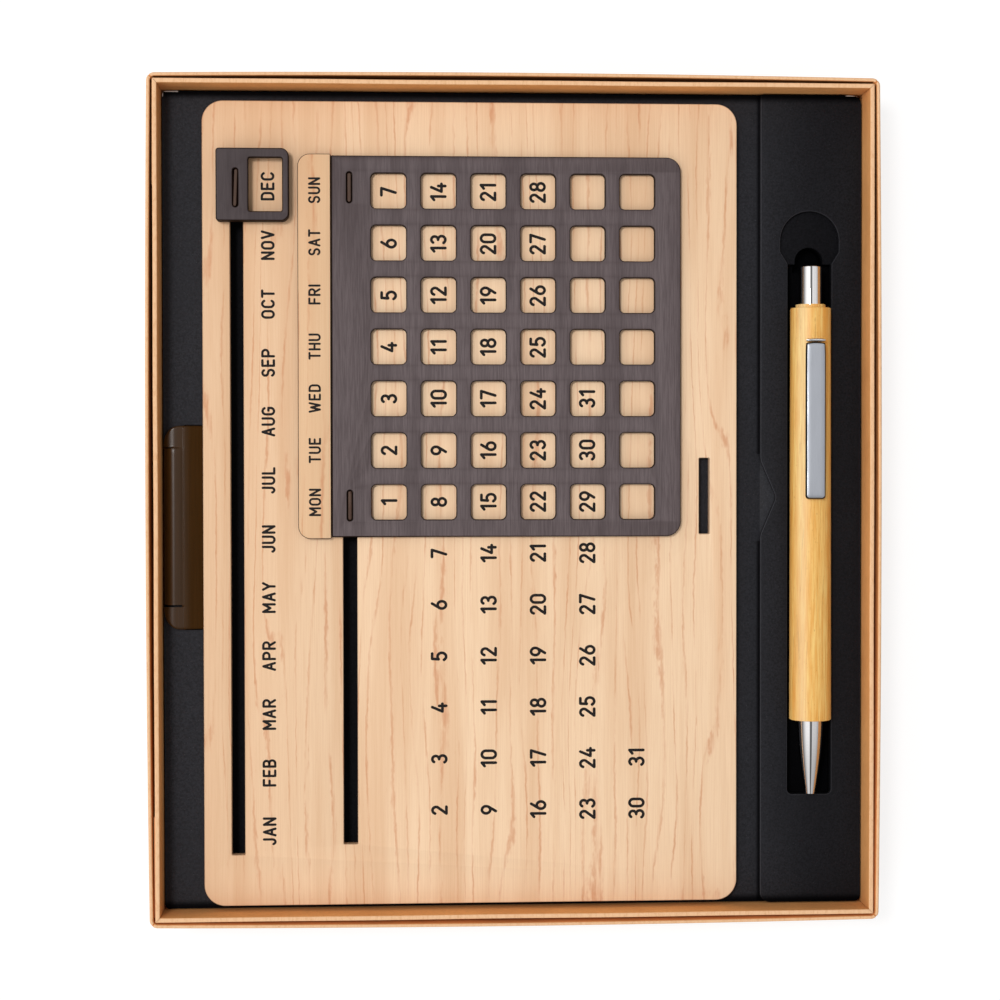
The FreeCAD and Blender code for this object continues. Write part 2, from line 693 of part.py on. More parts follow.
def month_cursor():
    """The month cursor's face, spacer, tenon and keeper."""
    radii = [cursor_left_radius, cursor_right_radius, cursor_right_radius, cursor_left_radius]
    face = rounded_plate(cursor_x, cursor_y, cursor_size, cursor_size, cursor_spacer_z, cursor_top_z, radii)
    spacer = rounded_plate(cursor_x, cursor_y, cursor_size, cursor_size, slider_z, cursor_spacer_z, radii)
    window = rounded_plate(cursor_window_x, cursor_y, cursor_window_width, cursor_window_length,
                           cursor_spacer_z - 1, cursor_top_z + 1, [cursor_window_radius] * 4)
    step = 2 * cursor_window_step
    wide_window = rounded_plate(cursor_window_x, cursor_y, cursor_window_width + step,
                                cursor_window_length + step, slider_z - 1, cursor_spacer_z + 1,
                                [cursor_window_radius] * 4)
    opening = slit(month_slot_x, cursor_tenon_y, cursor_tenon_length, slider_z, cursor_top_z)
    keeper = centred_block(month_slot_x, cursor_tenon_y, cursor_keeper_width,
                           cursor_keeper_length, keeper_bottom_z, keeper_top_z)
    keeper = keeper.cut(slit(month_slot_x, cursor_tenon_y, cursor_tenon_length,
                             keeper_bottom_z, keeper_top_z))
    return {
        "month_cursor_face": face.cut(window).cut(opening),
        "month_cursor_spacer": spacer.cut(wide_window).cut(opening),
        "month_cursor_tenon": tenon(month_slot_x, cursor_tenon_y, cursor_tenon_length,
                                    month_slot_width, cursor_top_z),
        "month_cursor_keeper": keeper,
    }


def date_frame():
    """The date grille with its windows, the weekday strip, two tenons and the keeper bar."""
    grille = rounded_plate(grille_left_x + grille_width / 2, frame_y, grille_width, grille_length,
                           slider_z, frame_top_z, [0, grille_radius, grille_radius, 0])
    for row in range(window_rows):
        for column in range(window_columns):
            window_x = grille_left_x + window_first_in + row * window_pitch_x
            window_y = window_back_y - column * window_pitch_y
            grille = grille.cut(rounded_plate(window_x, window_y, window_size, window_size,
                                              slider_z - 1, frame_top_z + 1, [window_radius] * 4))
    weekday_length = grille_length + 2 * weekday_overhang
    strip = rounded_plate(grille_left_x - weekday_width / 2, frame_y, weekday_width, weekday_length,
                          slider_z, frame_top_z, [weekday_radius, 0, 0, weekday_radius])
    keeper_length = date_tenon_upper_y - date_tenon_lower_y + date_tenon_length + 2 * date_keeper_overhang
    keeper = centred_block(date_slot_x, frame_y, date_keeper_width, keeper_length,
                           keeper_bottom_z, keeper_top_z)
    pieces = {"weekday_strip": strip}
    tenons = {"date_tenon_upper": date_tenon_upper_y, "date_tenon_lower": date_tenon_lower_y}
    for name, tenon_y in tenons.items():
        pieces[name] = tenon(date_slot_x, tenon_y, date_tenon_length, date_slot_width, frame_top_z)
        grille = grille.cut(slit(date_slot_x, tenon_y, date_tenon_length, slider_z, frame_top_z))
        keeper = keeper.cut(slit(date_slot_x, tenon_y, date_tenon_length, keeper_bottom_z, keeper_top_z))
    pieces["date_grille"] = grille
    pieces["date_keeper"] = keeper
    return pieces


# ---- pen -------------------------------------------------------------------
def pen_barrel():
    """Bamboo tube, its edges eased, with the clip root's slot."""
    barrel = tube(barrel_diameter, barrel_bore, barrel_front_y, barrel_back_y)
    rims = [edge for edge in barrel.Edges if is_barrel_rim(edge)]
    barrel = barrel.makeFillet(barrel_edge, rims)
    return barrel.cut(clip_leg(0.0))


def is_barrel_rim(edge):
    """True for the circles at the two ends of the barrel's outside."""
    box = edge.BoundBox
    flat = box.YMax - box.YMin < 1e-6
    return flat and abs(box.XMax - box.XMin - barrel_diameter) < 1e-3


def clip_leg(spare):
    """The part of the clip root that passes through the barrel's wall."""
    half = clip_leg_width / 2 + spare
    return block(pen_x - half, pen_x + half, clip_root_y - spare, clip_root_y + clip_root_length + spare,
                 pen_z + math.sqrt((barrel_bore / 2) ** 2 - half ** 2), clip_bottom_z)


def clip_root():
    """The clip's fixed end: a leg in the barrel's wall and a head as thick as the clip."""
    head = centred_block(pen_x, clip_root_y + clip_root_length / 2, clip_width, clip_root_length,
                         clip_bottom_z, clip_top_z)
    leg = clip_leg(0.0).cut(rod(barrel_bore, clip_root_y - 1, clip_root_y + clip_root_length + 1))
    return head.fuse(leg).removeSplitter()


def pen_clip():
    """The clip: a flat strip with a raised rim and a nub near its free end."""
    plate = rounded_plate(pen_x, clip_front_y + clip_length / 2, clip_width, clip_length,
                          clip_bottom_z, clip_top_z, [clip_front_radius, clip_front_radius, 0, 0])
    inner = clip_width - 2 * clip_rim_width
    floor = centred_block(pen_x, clip_front_y + clip_length / 2, inner, clip_length - 2 * clip_rim_width,
                          clip_top_z - clip_rim_height, clip_top_z + 1)
    nub_y = clip_front_y + clip_front_radius + clip_nub_length
    nub_z = pen_z + pen_radius + clip_tip_gap
    nub = centred_block(pen_x, nub_y, clip_nub_length, clip_nub_length, nub_z, clip_bottom_z)
    return plate.cut(floor).fuse(nub).removeSplitter()


def pen_nose():
    """Chrome nose cone with its spring chamber and the shank that screws into the barrel."""
    base = nose_base_diameter / 2
    tip = nose_tip_diameter / 2
    hole = tip_diameter / 2 + tip_running_clearance
    chamber = nose_chamber / 2
    shank = nose_shank_diameter / 2
    back_y = barrel_front_y + nose_shank_length
    chamber_y = barrel_front_y - nose_chamber_length
    swell = V((base + tip) / 2 + nose_bulge, (barrel_front_y + nose_tip_y) / 2, 0)
    flank = Part.Arc(V(tip, nose_tip_y, 0), swell, V(base, barrel_front_y, 0)).toShape()
    points = [V(base, barrel_front_y, 0), V(shank, barrel_front_y, 0), V(shank, back_y, 0),
              V(shank_bore / 2, back_y, 0), V(chamber, barrel_front_y, 0), V(chamber, chamber_y, 0),
              V(hole, chamber_y, 0), V(hole, nose_tip_y, 0), V(tip, nose_tip_y, 0)]
    lines = [Part.makeLine(points[index], points[index + 1]) for index in range(len(points) - 1)
             if points[index].distanceToPoint(points[index + 1]) > 1e-6]
    return turned(lines + [flank])


def thread_insert():
    """Brass bush in the barrel that the nose screws into."""
    return tube(barrel_bore, nose_shank_diameter, barrel_front_y, barrel_front_y + thread_insert_length)


def refill_tip():
    """The refill's metal tip, narrowing to the ball."""
    radius = tip_diameter / 2
    ball = tip_ball_diameter / 2
    taper_y = tip_point_y + tip_point_length
    points = [(0, tip_point_y), (ball, tip_point_y), (radius, taper_y), (radius, refill_front_y),
              (0, refill_front_y)]
    return turned(polygon(points))


def refill_spring():
    """Return spring round the tip, between the nose's shoulder and the refill."""
    front = barrel_front_y - nose_chamber_length + spring_wire
    back = refill_front_y - spring_wire
    radius = (spring_diameter - spring_wire) / 2
    pitch = (back - front) / spring_turns
    sections = []
    for step in range(spring_turns * spring_steps + 1):
        turn = 2 * math.pi * step / spring_steps
        outward = V(math.cos(turn), 0, -math.sin(turn))
        ahead = V(-radius * math.sin(turn), pitch / (2 * math.pi), -radius * math.cos(turn)).normalize()
        centre = V(pen_x, front + pitch * step / spring_steps, pen_z) + outward * radius
        sections.append(wire_section(centre, outward, ahead.cross(outward)))
    return Part.makeLoft(sections, True, True)


def wire_section(centre, outward, across):
    """The spring wire's section, as a small polygon."""
    corners = []
    for side in range(spring_sides):
        angle = 2 * math.pi * side / spring_sides
        corners.append(centre + (outward * math.cos(angle) + across * math.sin(angle)) * (spring_wire / 2))
    return Part.makePolygon(corners + corners[:1])


def push_button():
    """Chrome button: a cup with a domed end, open towards the rotor."""
    radius = button_diameter / 2
    hollow = radius - button_wall
    rim_y = button_back_y - button_dome
    dome_radius = (radius ** 2 + button_dome ** 2) / (2 * button_dome)
    halfway = V(radius / 2, button_back_y - dome_radius + math.sqrt(dome_radius ** 2 - radius ** 2 / 4), 0)
    dome = Part.Arc(V(radius, rim_y, 0), halfway, V(0, button_back_y, 0)).toShape()
    inner_y = rim_y - button_wall
    points = [V(0, button_back_y, 0), V(0, inner_y, 0), V(hollow, inner_y, 0), V(hollow, button_front_y, 0),
              V(radius, button_front_y, 0), V(radius, rim_y, 0)]
    lines = [Part.makeLine(points[index], points[index + 1]) for index in range(len(points) - 1)]
    return turned(lines + [dome])


def cam_rotor():
    """The rotor that the button pushes, bored for the refill's end."""
    body = rod(rotor_diameter, rotor_front_y, rotor_back_y)
    return body.cut(rod(rotor_bore, rotor_front_y, refill_back_y))


# ---- all pieces ------------------------------------------------------------
def all_pieces():
    """Every node by name."""
    lower_sheet, upper_sheet = support_sheets()
    pieces = {
        "outer_carton": outer_carton(),
        "corner_flaps": corner_flaps(),
        "support_sheet_lower": lower_sheet,
        "support_sheet_upper": upper_sheet,
        "bed_layer": bed_layer(),
        "pen_panel": pen_panel(),
        "pull_grip": pull_grip(),
        "stand_foot": stand_foot(),
        "calendar_board": calendar_board(),
        "pen_barrel": pen_barrel(),
        "pen_nose": pen_nose(),
        "thread_insert": thread_insert(),
        "cam_sleeve": tube(sleeve_diameter, sleeve_bore, sleeve_front_y, sleeve_back_y),
        "clip_root": clip_root(),
        "refill_spring": refill_spring(),
        "pen_clip": pen_clip(),
        "push_button": push_button(),
        "cam_rotor": cam_rotor(),
        "refill_tube": tube(refill_diameter, refill_bore, refill_front_y, refill_back_y),
        "refill_tip": refill_tip(),
    }
    pieces.update(liner_panels())
    pieces.update(month_cursor())
    pieces.update(date_frame())
    return pieces


os.makedirs("parts", exist_ok=True)
for node, shape in all_pieces().items():
    save(node, shape)
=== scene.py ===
"""Looks of a wooden slide calendar and a bamboo click pen bedded in a double-walled kraft tray.

Sizes inside the shape functions are in millimetres and become metres when a mesh is made.
+X runs across the tray towards the pen, +Y along it towards the pen's button, +Z up.
"""

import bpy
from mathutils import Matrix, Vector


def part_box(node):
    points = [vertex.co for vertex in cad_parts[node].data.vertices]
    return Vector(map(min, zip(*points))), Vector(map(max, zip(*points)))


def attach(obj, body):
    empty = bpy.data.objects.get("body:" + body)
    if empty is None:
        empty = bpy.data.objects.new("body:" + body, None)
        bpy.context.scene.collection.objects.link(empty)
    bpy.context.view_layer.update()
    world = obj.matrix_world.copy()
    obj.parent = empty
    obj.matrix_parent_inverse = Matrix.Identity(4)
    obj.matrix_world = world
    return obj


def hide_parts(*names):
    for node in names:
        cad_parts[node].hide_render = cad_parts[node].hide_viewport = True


bl_info = {
    "name": "Slide Calendar Tray",
    "version": (1, 0, 0),
    "blender": (4, 5, 0),
    "location": "3D View > Sidebar > Slide Calendar",
    "description": "Builds a wooden slide calendar and a bamboo pen in a kraft tray",
    "category": "Object",
}

import math
from functools import cache

import bmesh
import bpy
import numpy as np
from bpy.props import FloatProperty, FloatVectorProperty, PointerProperty
from mathutils import Euler, Vector
from mathutils.geometry import tessellate_polygon

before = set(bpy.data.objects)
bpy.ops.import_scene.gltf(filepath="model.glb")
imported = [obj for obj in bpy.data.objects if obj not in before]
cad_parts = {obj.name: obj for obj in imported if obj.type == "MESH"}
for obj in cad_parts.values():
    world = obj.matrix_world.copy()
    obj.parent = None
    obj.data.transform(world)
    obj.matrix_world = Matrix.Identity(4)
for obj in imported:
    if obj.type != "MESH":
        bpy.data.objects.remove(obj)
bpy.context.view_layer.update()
MM = 0.001

# ---- measures that several pieces share, in millimetres ----------------------------
WEEKS, WEEK_STEP, FIRST_WEEK = 6, 13.0, 14.9          # rows of days; the first from the grille's left
DAYS_SHOWN, DAY_STEP = 7, 13.5                        # columns of days behind the grille
CURSOR_WINDOW, CURSOR_WINDOW_IN = (8.7, 13.8), 1.7    # its size, and from the cursor's right edge


# ---- sizes and colours that a user would change ------------------------------------
def tone(red, green, blue):
    """A display colour, 0 to 255, as linear light."""
    shown = np.array((red, green, blue), float) / 255
    low = shown / 12.92
    high = ((shown + 0.055) / 1.055) ** 2.4
    return tuple(float(x) for x in np.where(shown <= 0.04045, low, high))


def scaled(shown, by):
    """A colour times one number, or times three."""
    return tuple(float(x) for x in np.array(shown) * by)


def length(name, text, millimetres, most=0.02):
    return FloatProperty(name=name, description=text, default=millimetres * MM, min=0.0, max=most,
                         unit="LENGTH", precision=5)


def colour(name, text, shown):
    return FloatVectorProperty(name=name, description=text, default=tone(*shown), size=3,
                               subtype="COLOR", min=0.0, max=1.0)


def share(name, text, value, most=1.0):
    return FloatProperty(name=name, description=text, default=value, min=0.0, max=most,
                         subtype="FACTOR")


class TrayLook(bpy.types.PropertyGroup):
    fold: length("Rim fold", "Radius of the rounded fold along the inner rim", 0.3)
    rim_wave: length("Rim wave", "How far the rims dip and wander", 0.16)
    kraft: colour("Kraft", "Face of the kraft board", (244, 178, 112))
    kraft_fibre: colour("Kraft fibre", "Darker fibres in the board", (208, 139, 80))
    kraft_rim: colour("Kraft rim", "Paler board along the folded rims", (246, 200, 156))


class InsertLook(bpy.types.PropertyGroup):
    edge: length("Edge", "Rounding of the die-cut edges", 0.3)
    foam: colour("Foam", "Face of the black foam", (40, 40, 45))
    speck: colour("Specks", "Fine light specks on the foam", (120, 120, 126))
    grip: colour("Grip", "Brown pull grip", (66, 42, 16))


class CalendarLook(bpy.types.PropertyGroup):
    board_edge: length("Board edge", "Rounding of the board's edges", 0.22)
    slider_edge: length("Slider edge", "Rounding of the sliders' cut edges", 0.32)
    numeral_height: length("Numerals", "Height of the day numbers", 4.4)
    month_height: length("Months", "Height of the month names", 3.6)
    weekday_height: length("Weekdays", "Height of the weekday names", 3.2)
    stroke: share("Stroke", "Width of a letter's stroke as a share of its height", 0.168)
    ink_depth: length("Ink", "How far the printed letters stand above the wood", 0.03, 0.0002)
    maple_light: colour("Maple light", "Pale wood of the board", (253, 219, 182))
    maple_dark: colour("Maple streak", "Pinkish streaks in the pale wood", (219, 168, 124))
    wenge_light: colour("Dark wood light", "Pale streaks of the dark wood", (109, 97, 98))
    wenge_dark: colour("Dark wood dark", "Deep streaks of the dark wood", (71, 60, 61))
    scorch: colour("Scorch", "Burnt edge left by the cutting beam", (52, 27, 13))
    ink: colour("Ink", "Letters and numbers", (20, 15, 14))


class PenLook(bpy.types.PropertyGroup):
    bamboo_light: colour("Bamboo light", "Pale bamboo", (255, 216, 132))
    bamboo_dark: colour("Bamboo dark", "Darker fibres of the bamboo", (230, 146, 38))
    clip_bevel: length("Clip bevel", "Width of the rounded shoulder along the clip's edges", 1.2)
    chrome: colour("Chrome", "Nose and button", (236, 234, 234))
    clip: colour("Clip", "Satin clip", (178, 181, 188))


class StageLook(bpy.types.PropertyGroup):
    sky: share("Sky", "Light of the overhead panels on matt surfaces", 0.66, 3.0)
    horizon: share("Horizon", "Brightness of the panels near the horizon", 0.4)
    gap: share("Gap", "Brightness of the narrow gap between the two overhead panels", 0.32)
    key: FloatProperty(name="Key", description="Power of the large soft lamp", default=7.3, min=0.0,
                       unit="POWER")
    lens: FloatProperty(name="Lens", description="Focal length of the camera", default=75.0,
                        min=10.0, unit="CAMERA")
    floor: length("Floor", "Side of the floor square", 6000.0, 20.0)


class CalendarTray(bpy.types.PropertyGroup):
    tray: PointerProperty(type=TrayLook)
    insert: PointerProperty(type=InsertLook)
    calendar: PointerProperty(type=CalendarLook)
    pen: PointerProperty(type=PenLook)
    stage: PointerProperty(type=StageLook)


# ---- outlines and shells -----------------------------------------------------------
def corners_of(node):
    """Lowest and highest corner of a CAD node, in millimetres."""
    low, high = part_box(node)
    return np.array(low) / MM, np.array(high) / MM


def middle_of(node):
    """Middle of a CAD node's box, in millimetres."""
    low, high = corners_of(node)
    return (low + high) / 2


def arc(cx, cy, rx, ry, start, end, step=10.0):
    """Points of an ellipse: the centre plus each radius times the cosine and sine of an even angle."""
    count = max(2, int(round(abs(end - start) / step)) + 1)
    turn = np.radians(np.linspace(start, end, count))
    return np.column_stack((cx + rx * np.cos(turn), cy + ry * np.sin(turn)))


def rounded_outline(x0, x1, y0, y1, radii, step=10.0):
    """Anticlockwise rectangle: a quarter circle at each corner, from left-front round to left-back."""
    places = ((x0, y0, 1, 1, 180), (x1, y0, -1, 1, 270), (x1, y1, -1, -1, 0), (x0, y1, 1, -1, 90))
    return np.vstack([arc(x + side_x * r, y + side_y * r, r, r, start, start + 90,
                          step if r > 0.5 else 45)
                      for (x, y, side_x, side_y, start), r in zip(places, radii)])


def block_outline(x, y, wide, long, radius, step=10.0):
    """A rounded rectangle about its middle."""
    return rounded_outline(x - wide / 2, x + wide / 2, y - long / 2, y + long / 2, [radius] * 4, step)


def slit_outline(x, y, wide, long):
    """A slit with nearly round ends."""
    return block_outline(x, y, wide, long, wide * 0.48, 22)


def divided(outline, longest):
    """The same outline with extra points evenly spaced along each side longer than the limit."""
    ahead = np.roll(outline, -1, 0)
    counts = np.maximum(1, np.ceil(np.linalg.norm(ahead - outline, axis=1) / longest).astype(int))
    begin = np.repeat(np.arange(len(outline)), counts)
    first = np.repeat(np.cumsum(counts) - counts, counts)
    part = (np.arange(counts.sum()) - first) / counts[begin]
    return outline[begin] + (ahead - outline)[begin] * part[:, None]


def inward(outline):
    """Mitred direction into an anticlockwise outline: the sum of both sides' normals over 1 plus
    their product."""
    side = np.roll(outline, -1, 0) - outline
    side /= np.linalg.norm(side, axis=1)[:, None]
    normal = np.column_stack((-side[:, 1], side[:, 0]))
    before = np.roll(normal, 1, 0)
    return (normal + before) / (1 + (normal * before).sum(1))[:, None]


def quarter_round(count):
    """An edge's rounding from (1, 0) to (0, 1): 1 minus the sine and 1 minus the cosine of even
    angles."""
    turn = np.linspace(0, np.pi / 2, count)
    return 1 - np.column_stack((np.sin(turn), np.cos(turn)))


def edge_profile(z0, z1, radius, steps=3):
    """Inset and height up a plate's edge: a quarter round, an upright and a quarter round."""
    lower = (0, z0) + radius * quarter_round(steps + 1)
    upper = lower[::-1] * (1, -1) + (0, z0 + z1)
    return np.vstack((lower, upper))


def ring_faces(rows, around, joined=False):
    """Four-sided faces between neighbouring rings, each ring closed on itself."""
    last = rows if joined else rows - 1
    row = np.repeat(np.arange(last), around)
    here = np.tile(np.arange(around), last)
    ahead = (here + 1) % around
    above = (row + 1) % rows
    return np.column_stack((row * around + here, row * around + ahead,
                            above * around + ahead, above * around + here))


def carried_shell(outer, profile, holes=(), hole_profile=None):
    """A profile of inset and height carried round an outline, and a second one round each hole:
    point = outline + inset times the mitred direction. Flat faces close the first and last ring."""
    points, faces, start = [], [], 0
    ends = {0: ([], []), -1: ([], [])}
    for number, outline in enumerate([outer, *holes]):
        shape = profile if number == 0 or hole_profile is None else hole_profile
        side = inward(outline) * (-1 if number else 1)
        flat = outline[None] + shape[:, 0, None, None] * side[None]
        height = np.broadcast_to(shape[:, 1, None, None], flat.shape[:2] + (1,))
        points.append(np.concatenate((flat, height), 2).reshape(-1, 3))
        faces.append(ring_faces(len(shape), len(outline)) + start)
        for ring, (rim, loops) in ends.items():
            rim.append(start + (ring % len(shape)) * len(outline) + np.arange(len(outline)))
            loops.append([Vector((x, y, 0)) for x, y in flat[ring]])
        start += len(shape) * len(outline)
    made = np.vstack(faces).tolist()
    for rim, loops in ends.values():
        made += np.concatenate(rim)[np.array(tessellate_polygon(loops))].tolist()
    return np.vstack(points), made


def plate(outer, z0, z1, edge, steps=3, holes=()):
    """A flat plate with rounded edges."""
    return carried_shell(outer, edge_profile(z0, z1, edge, steps), holes)


def slab(x0, x1, y0, y1, z0, z1, radius, edge=0.1, steps=1):
    """A plate with one radius at all four corners."""
    return plate(rounded_outline(x0, x1, y0, y1, [radius] * 4), z0, z1, edge, steps)


def swept_shell(rings, joined=False):
    """A surface through closed rings of points, shut at both ends or joined end to end."""
    rings = np.asarray(rings, float)
    rows, around = rings.shape[:2]
    faces = ring_faces(rows, around, joined).tolist()
    if not joined:
        faces += [list(range(around))[::-1], list(range((rows - 1) * around, rows * around))]
    return rings.reshape(-1, 3), faces


def turned_shell(profile, x, z, joined=False, around=96):
    """A profile of radius and place turned about an axis along Y: across = radius times cosine,
    up = radius times sine."""
    turn = np.linspace(0, 2 * np.pi, around, endpoint=False)
    radius, along = np.asarray(profile, float).T[:, :, None]
    rings = np.stack((x + radius * np.cos(turn), np.repeat(along, around, 1),
                      z + radius * np.sin(turn)), 2)
    return swept_shell(rings, joined)


def piece(name, shells, finish, body, replaced=(), crease=32.0):
    """One object at the origin from shells of points in millimetres, facing outwards."""
    starts = np.cumsum([0] + [len(points) for points, _ in shells])
    points = np.vstack([points for points, _ in shells]) * MM
    faces = [[corner + start for corner in face]
             for (_, made), start in zip(shells, starts.tolist()) for face in made]
    mesh = bpy.data.meshes.new(name)
    mesh.from_pydata(points.tolist(), [], faces)
    work = bmesh.new()
    work.from_mesh(mesh)
    bmesh.ops.recalc_face_normals(work, faces=work.faces)
    work.to_mesh(mesh)
    work.free()
    mesh.materials.append(finish_named(finish))
    mesh.shade_smooth()
    mesh.set_sharp_from_angle(angle=math.radians(crease))
    made = bpy.data.objects.new(name, mesh)
    bpy.context.scene.collection.objects.link(made)
    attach(made, body)
    if replaced:
        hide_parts(*replaced)


def dress(finish, *nodes):
    """Gives CAD nodes that stay in view a procedural material."""
    for name in nodes:
        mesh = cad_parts[name].data
        mesh.materials.clear()
        mesh.materials.append(finish_named(finish))


# ---- shader trees ------------------------------------------------------------------
def sum_of(what, swapped=False):
    """A method that adds one Math node to a value's tree."""
    def method(self, other=0.0):
        return self.shader.maths(what, *((other, self) if swapped else (self, other)))
    return method


class Value:
    """An output of a shader node. Sums done with it add Math nodes."""
    __array_ufunc__ = None      # a numpy number on the left hands the sum over to this class
    __add__ = __radd__ = sum_of("ADD")
    __sub__, __rsub__ = sum_of("SUBTRACT"), sum_of("SUBTRACT", True)
    __mul__ = __rmul__ = sum_of("MULTIPLY")
    __truediv__ = sum_of("DIVIDE")
    __lt__, __gt__ = sum_of("LESS_THAN"), sum_of("GREATER_THAN")
    __abs__ = sum_of("ABSOLUTE")
    larger = sum_of("MAXIMUM")
    pingpong = sum_of("PINGPONG")

    def __init__(self, shader, socket):
        self.shader, self.socket = shader, socket

    def ramp(self, low, high, to_low=0.0, to_high=1.0):
        """The value carried smoothly from one range to another."""
        return Value(self.shader, self.shader.node("ShaderNodeMapRange", [
            ("Value", self), ("From Min", low), ("From Max", high), ("To Min", to_low),
            ("To Max", to_high)], interpolation_type="SMOOTHSTEP").outputs["Result"])


class Shader:
    """A node tree that is being filled."""

    def __init__(self, tree):
        self.tree = tree

    def feed(self, socket, value):
        """Gives an input a fixed value, or the output that feeds it."""
        value = value.socket if isinstance(value, Value) else value
        if isinstance(value, bpy.types.NodeSocket):
            self.tree.links.new(value, socket)
        else:
            socket.default_value = (*value, 1.0) if socket.type == "RGBA" and len(value) == 3 else value

    def node(self, kind, sockets=(), **settings):
        """Adds a node. Sockets pair an input with what it is fed."""
        made = self.tree.nodes.new(kind)
        for key, value in settings.items():
            setattr(made, key, value)
        for socket, value in sockets:
            self.feed(made.inputs[socket], value)
        return made

    def maths(self, what, *terms):
        """The result of one Math node."""
        return Value(self, self.node("ShaderNodeMath", enumerate(terms), operation=what).outputs[0])

    def split(self, vector, kind="ShaderNodeSeparateXYZ"):
        """The parts of a vector or a colour."""
        return [Value(self, part) for part in self.node(kind, [(0, vector)]).outputs]

    def blend(self, factor, first, second):
        """Two colours mixed by a factor."""
        return self.node("ShaderNodeMix", [(0, factor), (6, first), (7, second)],
                         data_type="RGBA").outputs[2]

    def stretched(self, vector, scale, place=(0, 0, 0)):
        """Coordinates stretched and shifted."""
        return self.node("ShaderNodeMapping", [("Vector", vector), ("Location", place),
                                               ("Scale", scale)]).outputs["Vector"]

    def noise_at(self, vector, detail, rough, bend=0.0):
        """Noise with cells of one unit of the vector."""
        return Value(self, self.node("ShaderNodeTexNoise", [
            ("Vector", vector), ("Scale", 1.0), ("Detail", detail), ("Roughness", rough),
            ("Distortion", bend)]).outputs["Fac"])

    def rays(self, kind):
        """1 for rays of that kind and 0 for all others."""
        return Value(self, self.node("ShaderNodeLightPath").outputs[f"Is {kind} Ray"])


class Group(Shader):
    """A node group with a named input for each default and a named output for each result."""

    def __init__(self, name, **defaults):
        super().__init__(bpy.data.node_groups.new(name, "ShaderNodeTree"))
        for label, value in defaults.items():
            kind = "NodeSocketVector" if value is None else "NodeSocketFloat"
            socket = self.tree.interface.new_socket(name=label, in_out="INPUT", socket_type=kind)
            if value is not None:
                socket.default_value = value
        outputs = self.tree.nodes.new("NodeGroupInput").outputs
        self.given = [Value(self, outputs[label]) for label in defaults]

    def results(self, **values):
        """Gives the group its outputs."""
        for label in values:
            self.tree.interface.new_socket(name=label, in_out="OUTPUT", socket_type="NodeSocketFloat")
        self.node("NodeGroupOutput", values.items())


def grain_group():
    """Wood grain along Y: fine fibres, broad bands, growth lines at even steps of X after a slow
    noise has shifted it, and short dark dashes."""
    group = Group("wood_grain", Vector=None, Fibre=0.3, Run=20.0, Band=8.0, Step=3.4)
    vector, fibre, run, band, step = group.given
    x, y, z = group.split(vector)

    def noise(wide, wider, longer, detail, rough):
        """Noise over a streak's width across the grain and its length along it."""
        across, along = wide * wider, run * longer
        laid = group.node("ShaderNodeCombineXYZ", enumerate((x / across, y / along, z / across)))
        return group.noise_at(laid.outputs[0], detail, rough)

    moved = (x / step + noise(band, 1.4, 6.0, 1.0, 0.4) * 5.5) + noise(step, 0.3, 0.2, 2.0, 0.6) * 0.3
    shown = noise(step, 0.5, 1.5, 3.0, 0.6).ramp(0.36, 0.66)
    group.results(
        Fibres=noise(fibre, 1.0, 1.0, 3.0, 0.6).ramp(0.32, 0.7),
        Bands=noise(band, 1.0, 9.0, 2.0, 0.5).ramp(0.42, 0.7),
        Lines=moved.pingpong(0.5).ramp(0.0, 0.13, 1.0, 0.0) * shown,
        Dashes=noise(fibre, 0.55, 0.12, 2.0, 0.6).ramp(0.64, 0.8))


def cut_edge_group():
    """1 where a face leans away from flat, as on a cut edge, and 0 on the flat face."""
    group = Group("cut_edge", Flat=0.97, Steep=0.6)
    flat, steep = group.given
    up = abs(group.split(group.node("ShaderNodeTexCoord").outputs["Normal"])[2])
    group.results(Mask=up.ramp(steep, flat, 1.0, 0.0))


def speck_group():
    """Scattered round specks: the distance to the nearest cell point, kept where the cell's own
    random number is high."""
    group = Group("specks", Vector=None, Size=0.2, Rarity=0.6)
    vector, size, rarity = group.given
    cells = group.node("ShaderNodeTexVoronoi", [("Vector", vector), ("Scale", 1.0)], feature="F1")
    near = Value(group, cells.outputs["Distance"]).ramp(0.0, size, 1.0, 0.0)
    picked = group.split(cells.outputs["Color"], "ShaderNodeSeparateColor")[0]
    group.results(Mask=near * (picked > rarity))


